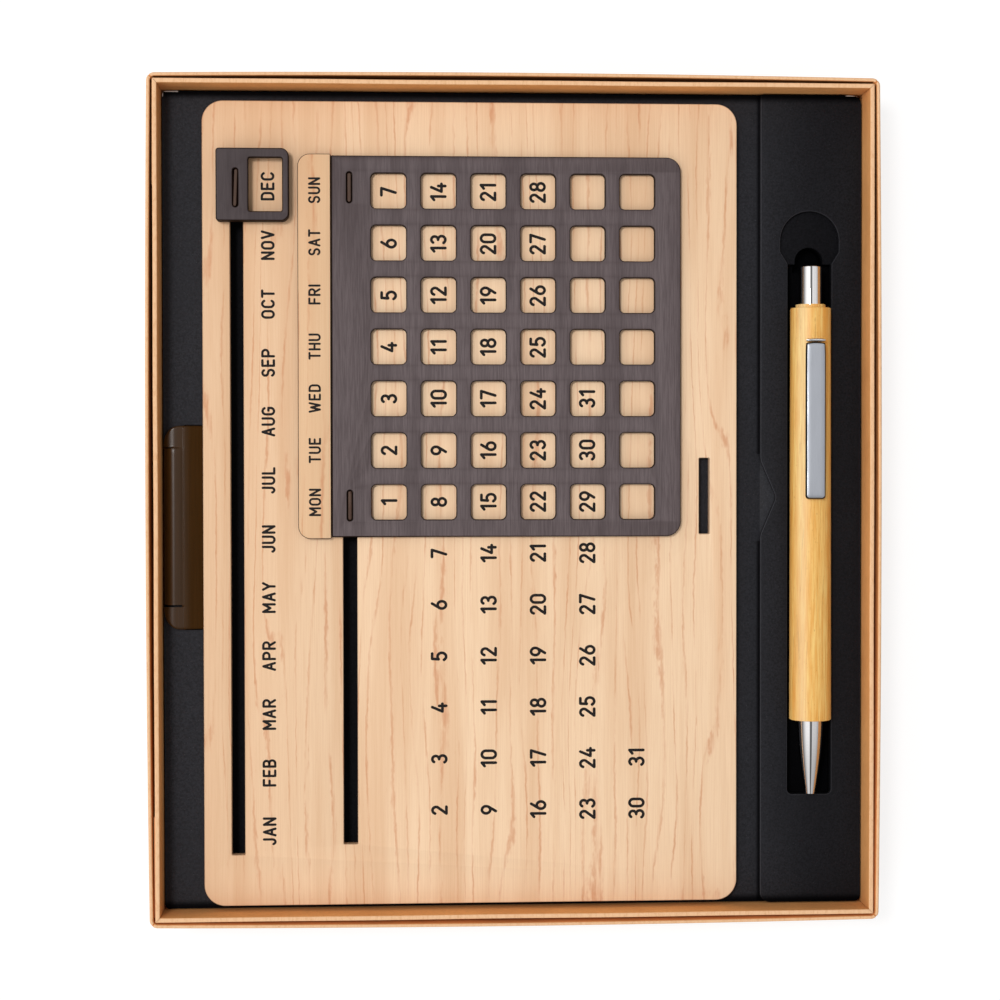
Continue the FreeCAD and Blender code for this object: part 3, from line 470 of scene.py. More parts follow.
class Finish(Shader):
    """A material that is being made, with its place in the object in millimetres."""

    def __init__(self, name, base, rough, specular=0.5):
        material = bpy.data.materials.new(name)
        material.use_nodes = True
        super().__init__(material.node_tree)
        self.inputs = self.tree.nodes["Principled BSDF"].inputs
        self.base = base
        self.set("Roughness", rough)
        self.set("Specular IOR Level", specular)
        self.place = self.stretched(self.node("ShaderNodeTexCoord").outputs["Object"], (1 / MM,) * 3)

    def set(self, label, value):
        """Feeds one input of the material's own shader."""
        self.feed(self.inputs[label], value)

    def over(self, factor, shown):
        """Lays a colour over what is there, as far as the factor says."""
        self.base = self.blend(factor, self.base, shown)

    def noise(self, scale, detail, rough, bend=0.0):
        """Noise over the piece, its cells one millimetre divided by the scale."""
        return self.noise_at(self.stretched(self.place, scale), detail, rough, bend)

    def group(self, name, **sockets):
        """The outputs of a node group, its inputs fed by name."""
        made = self.node("ShaderNodeGroup", node_tree=bpy.data.node_groups[name])
        for label, value in sockets.items():
            self.feed(made.inputs[label], value)
        return [Value(self, socket) for socket in made.outputs]

    def specks(self, scale, rarity):
        return self.group("specks", Vector=self.stretched(self.place, scale), Rarity=rarity)[0]

    def leaning(self, flat, steep):
        """1 where the normal's height is below steep, fading to 0 where it is above flat."""
        return self.group("cut_edge", Flat=flat, Steep=steep)[0]

    def bump(self, height, strength, depth):
        """Fine relief, its depth in millimetres."""
        self.set("Normal", self.node("ShaderNodeBump", [
            ("Height", height), ("Strength", strength), ("Distance", depth * MM)]).outputs[0])

    def done(self):
        self.set("Base Color", self.base)


# ---- finishes ----------------------------------------------------------------------
def wood(name, colours, fibre, run, band, scorch, shift, rough, contrast=0.75, figure=1.0):
    """Sawn sheet with grain along Y and scorched cut edges, with painted shade that deepens its tone
    towards the left and the back.
    """
    light, dark, burnt = colours
    paint = Finish(name, light, rough, 0.18)
    moved = paint.stretched(paint.place, (1, 1, 1), shift)
    fibres, bands, growth, dashes = paint.group("wood_grain", Vector=moved, Fibre=fibre, Run=run,
                                                Band=band, Step=3.4)
    cut = paint.leaning(0.998, 0.93)
    x, y, _ = paint.split(paint.place)
    deep = scaled(dark, (0.9, 0.6, 0.5) if figure else 0.6)
    # Painted shade: the third and fourth layers darken the wood towards the back (+Y) and towards the
    # left (-X).
    for factor, shown in ((fibres * (0.3 * contrast), dark), (bands * 0.42, dark),
                          (y.ramp(30.0, 110.0, 0.0, 0.2), dark), (x.ramp(-85.0, -25.0, 0.4, 0.0), dark),
                          (growth * (0.6 * figure), deep), (dashes * (0.3 * contrast), deep),
                          (cut * scorch, burnt)):
        paint.over(factor, shown)
    paint.bump(fibres - dashes, 0.2, 0.03)
    paint.done()


def kraft_board(look):
    """Kraft paperboard: cloudy tone, crossing fibres, a few dark flecks, rims paler partly from folded
    fibre and partly from painted light on their up-facing tops, and shade in the gap between the walls,
    where only one of the two distances is past its limit."""
    liner_x, liner_y, wall_x, wall_y, rim_z = 93.3, 108.3, 94.86, 109.86, 25.3
    paint = Finish("kraft_paper", look.kraft, 0.8, 0.12)
    x, y, z = paint.split(paint.place)
    fibre = paint.noise((1.6, 0.5, 1.6), 4.0, 0.65, 0.4)
    # Paler rim tops: partly the board's paler folded fibre, partly painted light on the up-facing faces.
    rim = (1 - paint.leaning(0.85, 0.35)) * z.ramp(23.0, 25.2)
    paint.over(paint.noise((0.06,) * 3, 3.0, 0.6).ramp(0.3, 0.7, 0.0, 0.35), look.kraft_fibre)
    paint.over(rim, look.kraft_rim)
    paint.over(fibre.ramp(0.4, 0.75, 0.0, 0.35), look.kraft_fibre)
    paint.over(paint.specks((1.1, 0.8, 1.1), 0.8) * 0.4, scaled(look.kraft_fibre, 0.5))
    past_liners = (abs(x) > liner_x) + (abs(y) > liner_y)
    between = paint.maths("COMPARE", past_liners, 1.0, 0.5)
    for value, limit in ((abs(x), wall_x), (abs(y), wall_y), (z, rim_z)):
        between = between * (value < limit)
    paint.over(between * y.ramp(-109.0, 109.0, 0.0, 0.6), tone(60, 30, 12))
    paint.bump(fibre, 0.3, 0.05)
    paint.done()


def black_foam(look):
    """Black foam sheet: fine closed cells, sparse light specks, rounded edges paler partly from wear and
    partly as painted highlight, painted shade to the right, near the front and back walls, lower down
    and beside the raised panel, painted light on the bed seen through the keyhole, and a pale backing
    that shows where two of its corners are torn."""
    paint = Finish("foam_sheet", scaled(look.foam, 1.2), 0.7, 0.14)
    x, y, z = paint.split(paint.place)
    cells = paint.noise((1.9,) * 3, 4.0, 0.75)
    # Rounded edges made paler, partly by wear and partly as a painted highlight.
    wear_and_sheen = paint.leaning(0.995, 0.9) * (1 - paint.leaning(0.6, 0.2))
    for factor, shown in (
            (cells.ramp(0.38, 0.66), scaled(look.foam, 0.55)),
            (paint.noise((0.03,) * 3, 2.0, 0.5).ramp(0.35, 0.65, 0.0, 0.3), scaled(look.foam, 0.7)),
            (paint.specks((2.2,) * 3, 0.72) * 0.5, look.speck), (wear_and_sheen * 0.22, look.speck)):
        paint.over(factor, shown)
    skin, torn_long, torn_short, torn_deep, torn_right = 0.3, 4.2, 1.5, 0.4, (87.6, 88.2)
    bed, panel = corners_of("bed_layer")[1], corners_of("pen_panel")[0]
    from_back, from_left = bed[1] - y, bed[0] + x
    torn = ((from_back < skin) * (from_left < torn_long)).larger(
        (from_left < skin) * (from_back < torn_short))
    torn = torn.larger((from_back < skin) * x.ramp(*torn_right)) * (z > bed[2] - torn_deep)
    torn = torn * paint.noise((0.9,) * 3, 2.0, 0.6).ramp(0.34, 0.44)
    # Painted shade: darker to the right, near the front and back walls and lower down; the sheen below
    # follows it.
    shade = x.ramp(50.0, 84.0, 1.0, 0.42) * abs(y).ramp(104.4, 106.4, 1.0, 0.12)
    shade = shade * z.ramp(11.5, 15.2, 0.2, 1.0)
    panel_top, notch_y, notch_half = 15.7, 0.6, 11.5
    below_panel = z < panel_top
    # Painted light on the bed seen through the keyhole, lifting it out of the painted shade.
    lit_keyhole_floor = below_panel * (x > panel[0] + 0.1)
    # Painted shadow in a thin line beside the raised panel's left edge, left out at the finger notch.
    shadow_beside_panel = (panel[0] - x).ramp(0.2, 1.1, 0.75, 0.0) * below_panel
    shadow_beside_panel = shadow_beside_panel * (abs(y - notch_y) > notch_half)
    shade = shade * (1 + lit_keyhole_floor * 1.2) * (1 - shadow_beside_panel)
    paint.base = paint.blend(shade, (0.0007, 0.0007, 0.001), paint.base)
    paint.over(torn, tone(214, 212, 206))
    paint.set("Specular IOR Level", shade * 0.2)
    paint.bump(cells, 0.4, 0.08)
    paint.done()


def moulded_grip(look):
    """Satin brown plastic with faint drawn streaks along its length."""
    paint = Finish("grip_plastic", look.grip, 0.36, 0.28)
    drawn = paint.noise((2.2, 0.05, 2.2), 3.0, 0.6)
    paint.over(drawn.ramp(0.3, 0.7, 0.0, 0.4), scaled(look.grip, 0.6))
    paint.set("Roughness", drawn.ramp(0.2, 0.8, 0.26, 0.36))
    paint.set("Specular IOR Level", paint.split(paint.place)[0].ramp(-87.5, -84.5, 0.3, 0.03))
    paint.bump(paint.noise((6, 6, 6), 2.0, 0.5), 0.1, 0.03)
    paint.done()


def bamboo(look):
    """Lacquered bamboo: fibres along Y, darker strands, short dashes, and a painted highlight strip and
    a painted shade strip left of the axis, under a thin coat."""
    paint = Finish("bamboo_barrel", look.bamboo_light, 0.45, 0.25)
    fibres, bands, growth, dashes = paint.group("wood_grain", Vector=paint.place, Fibre=0.4, Run=9.0,
                                                Band=1.5, Step=1.3)
    deep = scaled(look.bamboo_dark, 0.6)
    for factor, shown in ((fibres * 0.6, look.bamboo_dark), (bands * 0.5, look.bamboo_dark),
                          (growth * 0.45, deep), (dashes * 0.75, deep)):
        paint.over(factor, shown)
    across = paint.split(paint.place)[0] - middle_of("pen_barrel")[0]
    # Painted highlight: the pale strip; painted shade: the dark strip, both left of the axis.
    for middle, reach, most, shown in ((-3.05, 2.2, 0.32, tone(255, 243, 203)),
                                       (-1.0, 1.3, 0.3, look.bamboo_dark)):
        paint.over(abs(across - middle).ramp(0.0, reach, most, 0.0), shown)
    paint.set("Coat Weight", 0.2)
    paint.set("Coat Roughness", 0.3)
    paint.bump(fibres, 0.25, 0.03)
    paint.done()


def metal(name, shown, rough, brushed=0.0):
    """Metal whose roughness wanders a little. A brushed one has streaks along Y and painted shade on its
    steep flanks.
    """
    paint = Finish(name, shown, rough)
    paint.set("Metallic", 1.0)
    wear_and_sheen = paint.noise((2.5, 0.12 if brushed else 2.5, 2.5), 3.0, 0.6)
    paint.over(wear_and_sheen.ramp(0.3, 0.7, 0.0, 0.3), scaled(shown, 0.86))
    paint.set("Roughness", wear_and_sheen.ramp(0.25, 0.75, rough * 0.8, rough * 1.25))
    if brushed:
        # Painted shade: the steep flanks darkened almost to black.
        paint.over(paint.leaning(0.86, 0.7) * 0.93, scaled(shown, 0.02))
        paint.bump(wear_and_sheen, brushed, 0.01)
    paint.done()


def mottled(name, shown, rough, specular, scale, noise, clouded, other):
    """A plain matt colour with soft clouds of a second tone."""
    paint = Finish(name, shown, rough, specular)
    paint.over(paint.noise((scale,) * 3, *noise).ramp(*clouded), scaled(shown, other))
    paint.done()


def finish_named(name):
    """The finish of that name, all of them made on first use."""
    if name not in bpy.data.materials:
        look = bpy.context.scene.calendar_tray
        cal = look.calendar
        grain_group()
        cut_edge_group()
        speck_group()
        burnt = scaled(cal.scorch, 0.35)
        wood("maple_board", (cal.maple_light, cal.maple_dark, cal.scorch), 0.3, 16.0, 8.0, 0.3,
             (3.0, 0, 0), 0.55)
        wood("maple_strip", (scaled(cal.maple_light, (0.88, 0.83, 0.76)), cal.maple_dark, cal.scorch),
             0.3, 20.0, 7.0, 1.0, (61.0, 17.0, 0), 0.55)
        wood("maple_end", (tone(98, 78, 66), tone(70, 54, 46), cal.scorch), 0.4, 3.0, 4.0, 1.0,
             (0, 0, 0), 0.7)
        for label, deeper, shift in (("dark_wood", 1.0, 20.0), ("cursor_wood", 0.68, 47.0)):
            wood(label, (scaled(cal.wenge_light, deeper), scaled(cal.wenge_dark, deeper), burnt), 0.3,
                 7.0, 5.0, 1.0, (shift, 0, 0), 0.6, 1.7, 0.0)
        kraft_board(look.tray)
        black_foam(look.insert)
        moulded_grip(look.insert)
        bamboo(look.pen)
        metal("polished_chrome", look.pen.chrome, 0.035)
        metal("lip_chrome", look.pen.chrome, 0.3)
        metal("clip_steel", look.pen.clip, 0.45, 0.05)
        metal("turned_brass", tone(205, 170, 98), 0.25)
        metal("spring_wire", tone(190, 190, 194), 0.25)
        mottled("milky_plastic", tone(226, 226, 220), 0.45, 0.5, 0.4, (2.0, 0.5), (0.3, 0.7), 0.85)
        mottled("ink", cal.ink, 0.7, 0.25, 3, (3.0, 0.6), (0.4, 0.8), 2.2)
    return bpy.data.materials[name]


# ---- tray --------------------------------------------------------------------------
def carton_shell(look):
    """Outer carton: a wall profile carried round a bowed outline, with the floor's lock slots.
    Each side swells by the bow times one minus the square of the place along it, and the rim
    dips by a bell curve at each corner, where two walls meet."""
    bow, corner, wall, floor, foot_round, crown_height, slot_spare = 0.66, 2.0, 0.9, 1.0, 0.8, 0.42, 0.15
    corner_dip, dip_reach, dip_spread = 0.5, 3.0, 5.0
    band, fillet, slot_corner, slot_edge = 3.0, 0.2, 0.2, 0.08
    high = corners_of("outer_carton")[1]
    half = high[:2] - bow
    outline = divided(block_outline(0, 0, *(2 * half), corner, 3.0), 6.0)
    near = np.clip((np.abs(outline) - half + corner) / corner, 0, 1)
    outline = outline + bow * np.sign(outline) * near * (1 - (outline / half)[:, ::-1] ** 2)
    foot = foot_round * quarter_round(5)
    top = high[2] - crown_height
    turn = np.linspace(0, np.pi, 9)
    crown = np.column_stack((wall / 2 * (1 - np.cos(turn)), top + crown_height * np.sin(turn)))
    upright = np.column_stack((np.zeros(4), np.linspace(2 * band, top - band, 4)))
    inside = np.column_stack((np.full(4, wall), np.linspace(top - band, band, 4)))
    profile = np.vstack((foot, upright, crown, inside,
                         [(wall, floor + fillet), (wall + fillet, floor)]))
    slots = [block_outline(*place, slot_corner) for place in lock_places(slot_spare)]
    points, faces = carried_shell(outline, profile, slots, edge_profile(0.0, floor, slot_edge, 1))
    points = dipped(points, look, high[2], 0.0)
    past_x, past_y = (np.abs(points[:, :2]) - half + corner).T
    near = np.clip((points[:, 2] - high[2] + dip_reach) / dip_reach, 0, 1)
    turn = np.degrees(np.arctan2(past_y, past_x))
    points[:, 2] -= corner_dip * near * np.exp(-((turn - 45) / dip_spread) ** 2)
    return points, faces


def lock_places(spare):
    """Middle and size of the eight lock tabs, two on each inner wall panel."""
    from_middle, tab_length = 55.0, 14.0
    places = []
    for name in ("liner_left", "liner_right", "liner_front", "liner_back"):
        low, high = corners_of(name)
        x, y, _ = (low + high) / 2
        thick, long = min((high - low)[:2]) + 2 * spare, tab_length + 2 * spare
        for along in (-from_middle, from_middle):
            places.append((x, along, thick, long) if abs(x) > abs(y) else (along, y, long, thick))
    return places


def dipped(points, look, rim, phase):
    """Lets a rim dip: down by the wave times a sum of slow sines, fading out below the rim."""
    reach, slow_x, slow_y, quick_turn = 6.0, 0.031, 0.027, 0.11
    near = np.clip((points[:, 2] - rim + reach) / reach, 0, 1)
    slow = np.sin(points[:, 0] * slow_x + phase) * np.cos(points[:, 1] * slow_y - phase)
    quick = 0.4 * np.sin((points[:, 0] + points[:, 1]) * quick_turn + 2 * phase)
    moved = points.copy()
    moved[:, 2] -= look.rim_wave / MM * near * 0.36 * (1.4 + slow + quick)
    return moved


def liner_shells(name, look):
    """Inner wall panel: a slab profile with a rounded rim, carried along the wall and mitred.
    Along the wall each depth runs further by itself, and the face bellies by a slow sine.
    Its lock tabs are plates in the floor."""
    wall, fold, floor, mitre_gap, bulge = 1.2, look.fold / MM, 1.0, 0.05, 0.10
    tab_corner, tab_edge = 0.2, 0.1
    low, high = corners_of(name)
    along = int(high[1] - low[1] > high[0] - low[0])
    middle, inner = ((low + high) / 2)[1 - along], min(abs(low[1 - along]), abs(high[1 - along]))
    side = 1 if middle > 0 else -1
    half, top = high[along], high[2]
    near = (0, top) + fold * quarter_round(6)[:, ::-1] * (1, -1)
    upright = np.column_stack((np.zeros(5), np.linspace(floor, top - fold, 6)[:-1]))
    profile = np.vstack((upright, near))
    profile = np.vstack((profile, profile[::-1] * (-1, 1) + (wall, 0)))
    place = np.linspace(-1, 1, 81)[:, None]
    run = place * (half - wall + profile[:, 0] - mitre_gap)
    belly = bulge * np.cos(place * np.pi / 2) * (0.6 + 0.4 * np.sin(place * 9 + side))
    across = side * (inner + profile[:, 0] + belly)
    rise = np.broadcast_to(profile[:, 1], run.shape)
    points, faces = swept_shell(np.stack((across, run, rise) if along else (run, across, rise), 2))
    tabs = [plate(block_outline(*place, tab_corner), 0.0, floor, tab_edge, 1)
            for place in lock_places(0.0) if low[0] < place[0] < high[0] and low[1] < place[1] < high[1]]
    return [(dipped(points, look, top, 1.3 + side + 2 * along), faces), *tabs]


class TRAY_OT_carton(bpy.types.Operator):
    """Build the outer carton with its bowed walls"""
    bl_idname = "calendar_tray.carton"
    bl_label = "Outer carton"

    def execute(self, context):
        look = context.scene.calendar_tray.tray
        piece("carton", [carton_shell(look)], "kraft_paper", "tray", ["outer_carton"])
        dress("kraft_paper", "corner_flaps")
        return {"FINISHED"}


class TRAY_OT_liners(bpy.types.Operator):
    """Build the four inner wall panels with their rounded, mitred rims"""
    bl_idname = "calendar_tray.liners"
    bl_label = "Inner walls"

    def execute(self, context):
        look = context.scene.calendar_tray.tray
        for side in ("front", "right", "back", "left"):
            piece("inner_wall_" + side, liner_shells("liner_" + side, look), "kraft_paper", "tray",
                  ["liner_" + side])
        return {"FINISHED"}


# ---- insert ------------------------------------------------------------------------
def keyhole_outline():
    """Finger hole, straight sides, taper and pen channel as one anticlockwise outline."""
    radius, half, corner, straight, taper = 7.8, 5.85, 1.3, 2.9, 3.2
    past_button, past_nose = 6.0, 0.4
    x = middle_of("pen_barrel")[0]
    centre = corners_of("push_button")[1][1] + past_button
    end = corners_of("pen_nose")[0][1] - past_nose
    shoulder = centre - straight
    right = np.vstack((arc(x + half - corner, end + corner, corner, corner, 270, 360, 15),
                       [(x + half, shoulder - taper), (x + radius, shoulder)]))
    left = (right * (-1, 1) + (2 * x, 0))[::-1]
    return np.vstack((right, arc(x, centre, radius, radius, 0, 180, 6), left))


def panel_outline():
    """Raised panel: square and rounded left corners, rounded right ones and the finger notch."""
    (x0, y0, _), (x1, y1, _) = corners_of("pen_panel")
    big, small, square = 2.6, 1.5, 0.5
    tip_radius, depth, mouth, y, lip_in = 2.5, 4.0, 17.8, 0.6, 0.12
    flank = math.degrees(math.atan2(mouth / 2, depth))
    tip = arc(x0 + depth - tip_radius, y, tip_radius, tip_radius, 90 - flank, flank - 90, 8)
    rise = (tip[0, 0] - x0) * math.tan(math.radians(flank))
    reach = tip[0, 1] - y + rise
    lip = np.array([(x0, reach + 1.2), (x0 + lip_in, reach + 0.2)])
    return np.vstack((arc(x0 + big, y0 + big, big, big, 180, 270),
                      arc(x1 - small, y0 + small, small, small, 270, 360),
                      arc(x1 - big, y1 - big, big, big, 0, 90),
                      arc(x0 + square, y1 - square, square, square, 90, 180, 30),
                      lip + (0, y), tip, lip[::-1] * (1, -1) + (0, y)))


class TRAY_OT_insert(bpy.types.Operator):
    """Build the raised pen panel and the sheets' rounded corners, and finish the foam sheets"""
    bl_idname = "calendar_tray.insert"
    bl_label = "Foam insert"

    def execute(self, context):
        look = context.scene.calendar_tray.insert
        low, high = corners_of("pen_panel")
        piece("pen_panel_foam", [plate(panel_outline(), low[2], high[2], look.edge / MM, 4,
                                       [keyhole_outline()])],
              "foam_sheet", "insert", ["pen_panel"])
        sheets = ["support_sheet_lower", "support_sheet_upper", "bed_layer"]
        cut, soft = 2.4, 1.2
        tip = np.vstack(([(-cut, 0.0)], arc(-soft, -soft, soft, soft, 0, 90)[::-1], [(0.0, -cut)]))
        corners = []
        for low, high in map(corners_of, sheets):
            for right, back in ((1, 1), (-1, 1), (-1, -1), (1, -1)):
                outline = tip * (right, back) + high[:2] * (right, back)
                corners.append(plate(outline[::-right * back], low[2], high[2], 0.02, 1))
        piece("foam_corners", corners, "foam_sheet", "insert", [])
        dress("foam_sheet", *sheets)
        return {"FINISHED"}


def grip_shells():
    """Pull grip as one sheet: a roll, a raised crease and a falling plate across X, carried along Y.
    The left edge is pulled in by a quarter ellipse at each ear and cut back at the two slits, and
    the height drops by a quarter round close to each end and each ear's edge. A hook below the roll
    and a tail under the board hold it."""
    inset, board_gap, under, wall = 0.1, 0.2, 1.2, 1.5
    low, high = corners_of("pull_grip")
    base = corners_of("pen_panel")[0][2]
    left, end = low[0] + inset, corners_of("calendar_board")[0][0] - board_gap
    crease = low[0] + 5.4
    upper_ear, lower_ear, ear_in = 5.2, 5.5, 4.2
    slits = ((-27.4, 4.7, 0.28), (13.9, 2.3, 0.14))
    bend = 1 - np.cos(np.linspace(0, 1.57, 10))
    rows = [np.linspace(low[1], high[1], 60), high[1] - upper_ear * bend, low[1] + lower_ear * bend]
    for y, _, half in slits:
        rows.append(np.array([y - half - 0.01, y - half, y + half, y + half + 0.01]))
    rows = np.unique(np.round(np.concatenate(rows), 4))
    rows = rows[np.concatenate(([True], np.diff(rows) > 0.009))]
    near_ear = np.maximum(1 - (high[1] - rows) / upper_ear, 1 - (rows - low[1]) / lower_ear).clip(0, 1)
    start = left + ear_in * (1 - np.sqrt(1 - near_ear ** 2))
    for y, deep, half in slits:
        start = np.where(np.abs(rows - y) < half + 0.001, np.maximum(start, left + deep), start)
    start, rows = start[:, None], rows[:, None]
    flat = np.concatenate((crease + np.array([-0.35, -0.2, -0.1, 0.0, 0.1, 0.25, 0.5, 1.0]),
                           np.linspace(crease + 1.6, end, 8)))
    x = np.hstack((start + (crease - 0.5 - start) * (1 - np.cos(np.linspace(0, np.pi / 2, 20))),
                   np.broadcast_to(flat, (len(rows), len(flat)))))
    across = [0, 0.3, 0.8, 1.4, 2.1, 2.9, 3.7, 4.4, 4.95, 5.15, 5.3, 5.5, 5.7, 6.6, 8.2, end - left]
    roll = [0.2, 0.8, 1.45, 1.92, 2.2, 2.3, 2.15, 1.82, 1.45, 1.4, 1.55, 1.56, 1.4, 1.1, 0.55, 0.0]
    ear = [1.2, 1.4, 1.6, 1.74, 1.84, 1.86, 1.76, 1.58, 1.38, 1.36, 1.48, 1.5, 1.36, 1.1, 0.55, 0.0]
    within = np.clip(np.minimum(rows - slits[0][0], slits[1][0] - rows) / 0.5 + 0.5, 0, 1)
    height = within * np.interp(x - left, across, roll) + (1 - within) * np.interp(x - left, across, ear)
    round_end = np.clip(np.minimum(rows - low[1], high[1] - rows) / 0.6, 0, 1)
    round_edge = np.maximum(np.clip((x - start) / 0.7, 0, 1), within)
    height = height - 0.5 * (2 - np.sqrt(1 - (1 - round_end) ** 2) - np.sqrt(1 - (1 - round_edge) ** 2))
    rows = np.broadcast_to(rows, x.shape)
    upper = np.stack((x, rows, base + height), 2)
    lower = np.stack((x, rows, base + np.where(x < crease - 0.4, 0.0, -under)), 2)[:, ::-1]
    return [swept_shell(np.concatenate((upper, lower), 1)),
            slab(left, left + wall, -27.1, 13.7, base - 4.0, base + 0.1, 0.3),
            slab(end - wall, high[0], low[1], high[1], base - under, base - 0.25, 0.3)]


class TRAY_OT_grip(bpy.types.Operator):
    """Build the brown pull grip with its roll, crease, ears and slits"""
    bl_idname = "calendar_tray.grip"
    bl_label = "Pull grip"

    def execute(self, context):
        piece("pull_grip_moulded", grip_shells(), "grip_plastic", "insert", ["pull_grip"],
              40.0)
        return {"FINISHED"}


# ---- lettering ---------------------------------------------------------------------
def lines(*places):
    """Straight strokes through the places given as x, y, x, y."""
    path = np.array(places, float).reshape(-1, 2)
    return [path[index:index + 2] for index in range(len(path) - 1)]


def curve(cx, cy, rx, ry, start, end):
    return [arc(cx, cy, rx, ry, start, end, 15)]


def ring(cx, cy, rx, ry):
    return curve(cx, cy, rx, ry, 0, 180) + curve(cx, cy, rx, ry, 180, 360)


@cache
def letter_strokes():
    """Each sign's width and strokes on a grid ten units high, in a plain round-ended style."""
    six = ring(2.6, 3.0, 2.6, 3.0) + lines(0.3, 4.5, 3.6, 10)
    cup = lines(0, 7, 0, 3)
    lid = curve(2.8, 7, 2.8, 3, 25, 180) + cup
    loop_p = lines(0, 0, 0, 10, 2.9, 10) + curve(2.9, 7.4, 2.6, 2.6, 90, -90) + lines(2.9, 4.8, 0, 4.8)
    return {
        "0": (5.2, curve(2.6, 7.2, 2.6, 2.8, 0, 180) + lines(0, 7.2, 0, 2.8)
              + curve(2.6, 2.8, 2.6, 2.8, 180, 360) + lines(5.2, 2.8, 5.2, 7.2)),
        "1": (3.0, lines(0.2, 8.0, 2.6, 10, 2.6, 0)),
        "2": (5.0, curve(2.5, 7.4, 2.4, 2.6, 165, -28) + lines(4.62, 6.2, 0.1, 0, 5.0, 0)),
        "3": (5.2, curve(2.5, 7.6, 2.3, 2.4, 150, -90) + curve(2.5, 2.6, 2.6, 2.6, 90, -150)),
        "4": (5.6, lines(3.2, 10, 0.1, 2.7, 5.6, 2.7) + lines(4.1, 5.0, 4.1, 0)),
        "5": (5.2, lines(4.6, 10, 0.8, 10, 0.5, 5.5) + curve(2.4, 3.1, 2.7, 3.1, 132, -150)),
        "6": (5.2, six),
        "7": (5.0, lines(0, 10, 5.0, 10, 1.9, 0)),
        "8": (5.2, ring(2.6, 7.6, 2.2, 2.4) + ring(2.6, 2.6, 2.6, 2.6)),
        "9": (5.2, [np.array((5.2, 10.0)) - stroke for stroke in six]),
        "A": (5.8, lines(0, 0, 2.9, 10, 5.8, 0) + lines(0.9, 3.1, 4.9, 3.1)),
        "B": (5.4, lines(2.9, 5.2, 0, 5.2) + lines(3.0, 0, 0, 0, 0, 10, 2.8, 10)
              + curve(2.8, 7.6, 2.2, 2.4, 90, -90) + curve(3.0, 2.6, 2.4, 2.6, 90, -90)),
        "C": (5.4, lid + curve(2.8, 3, 2.8, 3, 180, 335)),
        "D": (5.4, lines(2.3, 0, 0, 0, 0, 10, 2.3, 10) + curve(2.3, 7, 3.1, 3, 90, 0)
              + lines(5.4, 7, 5.4, 3) + curve(2.3, 3, 3.1, 3, 0, -90)),
        "E": (4.7, lines(4.7, 10, 0, 10, 0, 0, 4.7, 0) + lines(0, 5.2, 4.1, 5.2)),
        "F": (4.7, lines(4.7, 10, 0, 10, 0, 0) + lines(0, 5.0, 4.1, 5.0)),
        "G": (5.6, lid + curve(2.8, 3, 2.8, 3, 180, 360) + lines(5.6, 3, 5.6, 4.9, 3.3, 4.9)),
        "H": (5.4, lines(0, 0, 0, 10) + lines(5.4, 0, 5.4, 10) + lines(0, 5.1, 5.4, 5.1)),
        "I": (0.0, lines(0, 0, 0, 10)),
        "J": (4.0, lines(4.0, 10, 4.0, 2.6) + curve(1.9, 2.6, 2.1, 2.6, 0, -160)),
        "L": (4.5, lines(0, 10, 0, 0, 4.5, 0)),
        "M": (6.6, lines(0, 0, 0, 10, 3.3, 3.8, 6.6, 10, 6.6, 0)),
        "N": (5.4, lines(0, 0, 0, 10, 5.4, 0, 5.4, 10)),
        "O": (5.6, curve(2.8, 7, 2.8, 3, 0, 180) + cup + curve(2.8, 3, 2.8, 3, 180, 360)
              + lines(5.6, 3, 5.6, 7)),
        "P": (5.5, loop_p),
        "R": (5.5, loop_p + lines(2.7, 4.8, 5.5, 0)),
        "S": (5.2, curve(2.6, 7.55, 2.45, 2.45, 28, 270) + curve(2.6, 2.55, 2.6, 2.55, 90, -155)),
        "T": (5.4, lines(0, 10, 5.4, 10) + lines(2.7, 10, 2.7, 0)),
        "U": (5.4, lines(0, 10, 0, 2.7) + curve(2.7, 2.7, 2.7, 2.7, 180, 360)
              + lines(5.4, 2.7, 5.4, 10)),
        "V": (5.6, lines(0, 10, 2.8, 0, 5.6, 10)),
        "W": (8.4, lines(0, 10, 2.1, 0, 4.2, 8.6, 6.3, 0, 8.4, 10)),
        "Y": (5.6, lines(0, 10, 2.8, 4.7, 5.6, 10) + lines(2.8, 4.7, 2.8, 0)),
    }


def stroke_shell(path, width, z0, z1):
    """A round-ended ribbon: a thin rectangle carried along the path, its half width shrinking as the
    cosine while it runs past each end by the sine."""
    lead = np.radians([78.0, 50.0, 24.0])
    ahead = np.gradient(path, axis=0)
    ahead /= np.linalg.norm(ahead, axis=1)[:, None]
    half = width / 2
    middle = np.vstack((path[0] - ahead[0] * half * np.sin(lead)[:, None], path,
                        path[-1] + ahead[-1] * half * np.sin(lead[::-1])[:, None]))
    reach = half * np.concatenate((np.cos(lead), np.ones(len(path)), np.cos(lead[::-1])))
    heading = np.vstack((np.repeat(ahead[:1], 3, 0), ahead, np.repeat(ahead[-1:], 3, 0)))
    side = np.column_stack((-heading[:, 1], heading[:, 0])) * reach[:, None]
    corners = ((middle + side, z0), (middle - side, z0), (middle - side, z1), (middle + side, z1))
    return swept_shell(np.stack([np.insert(flat, 2, z, 1) for flat, z in corners], 1))


def word_shells(text, x, y, height, stroke, surface, ink):
    """A word centred on a place and turned to read along +Y, as ribbons just above the surface.
    Strokes of one sign end at slightly different heights, so no two faces share a plane."""
    sunk, height_step = 0.02, 0.0015
    strokes = letter_strokes()
    gap = 3.6 if text[0].isalpha() else 3.0
    unit = height / 10 * (1 - stroke)
    total = sum(strokes[sign][0] for sign in text) + gap * (len(text) - 1)
    shells, start = [], -total / 2
    for sign in text:
        wide, paths = strokes[sign]
        for number, path in enumerate(paths):
            turned = np.column_stack((x - (path[:, 1] - 5) * unit, y + (path[:, 0] + start) * unit))
            shells.append(stroke_shell(turned, stroke * height, surface - sunk,
                                       surface + ink - height_step * (number % 4)))
        start += wide + gap
    return shells


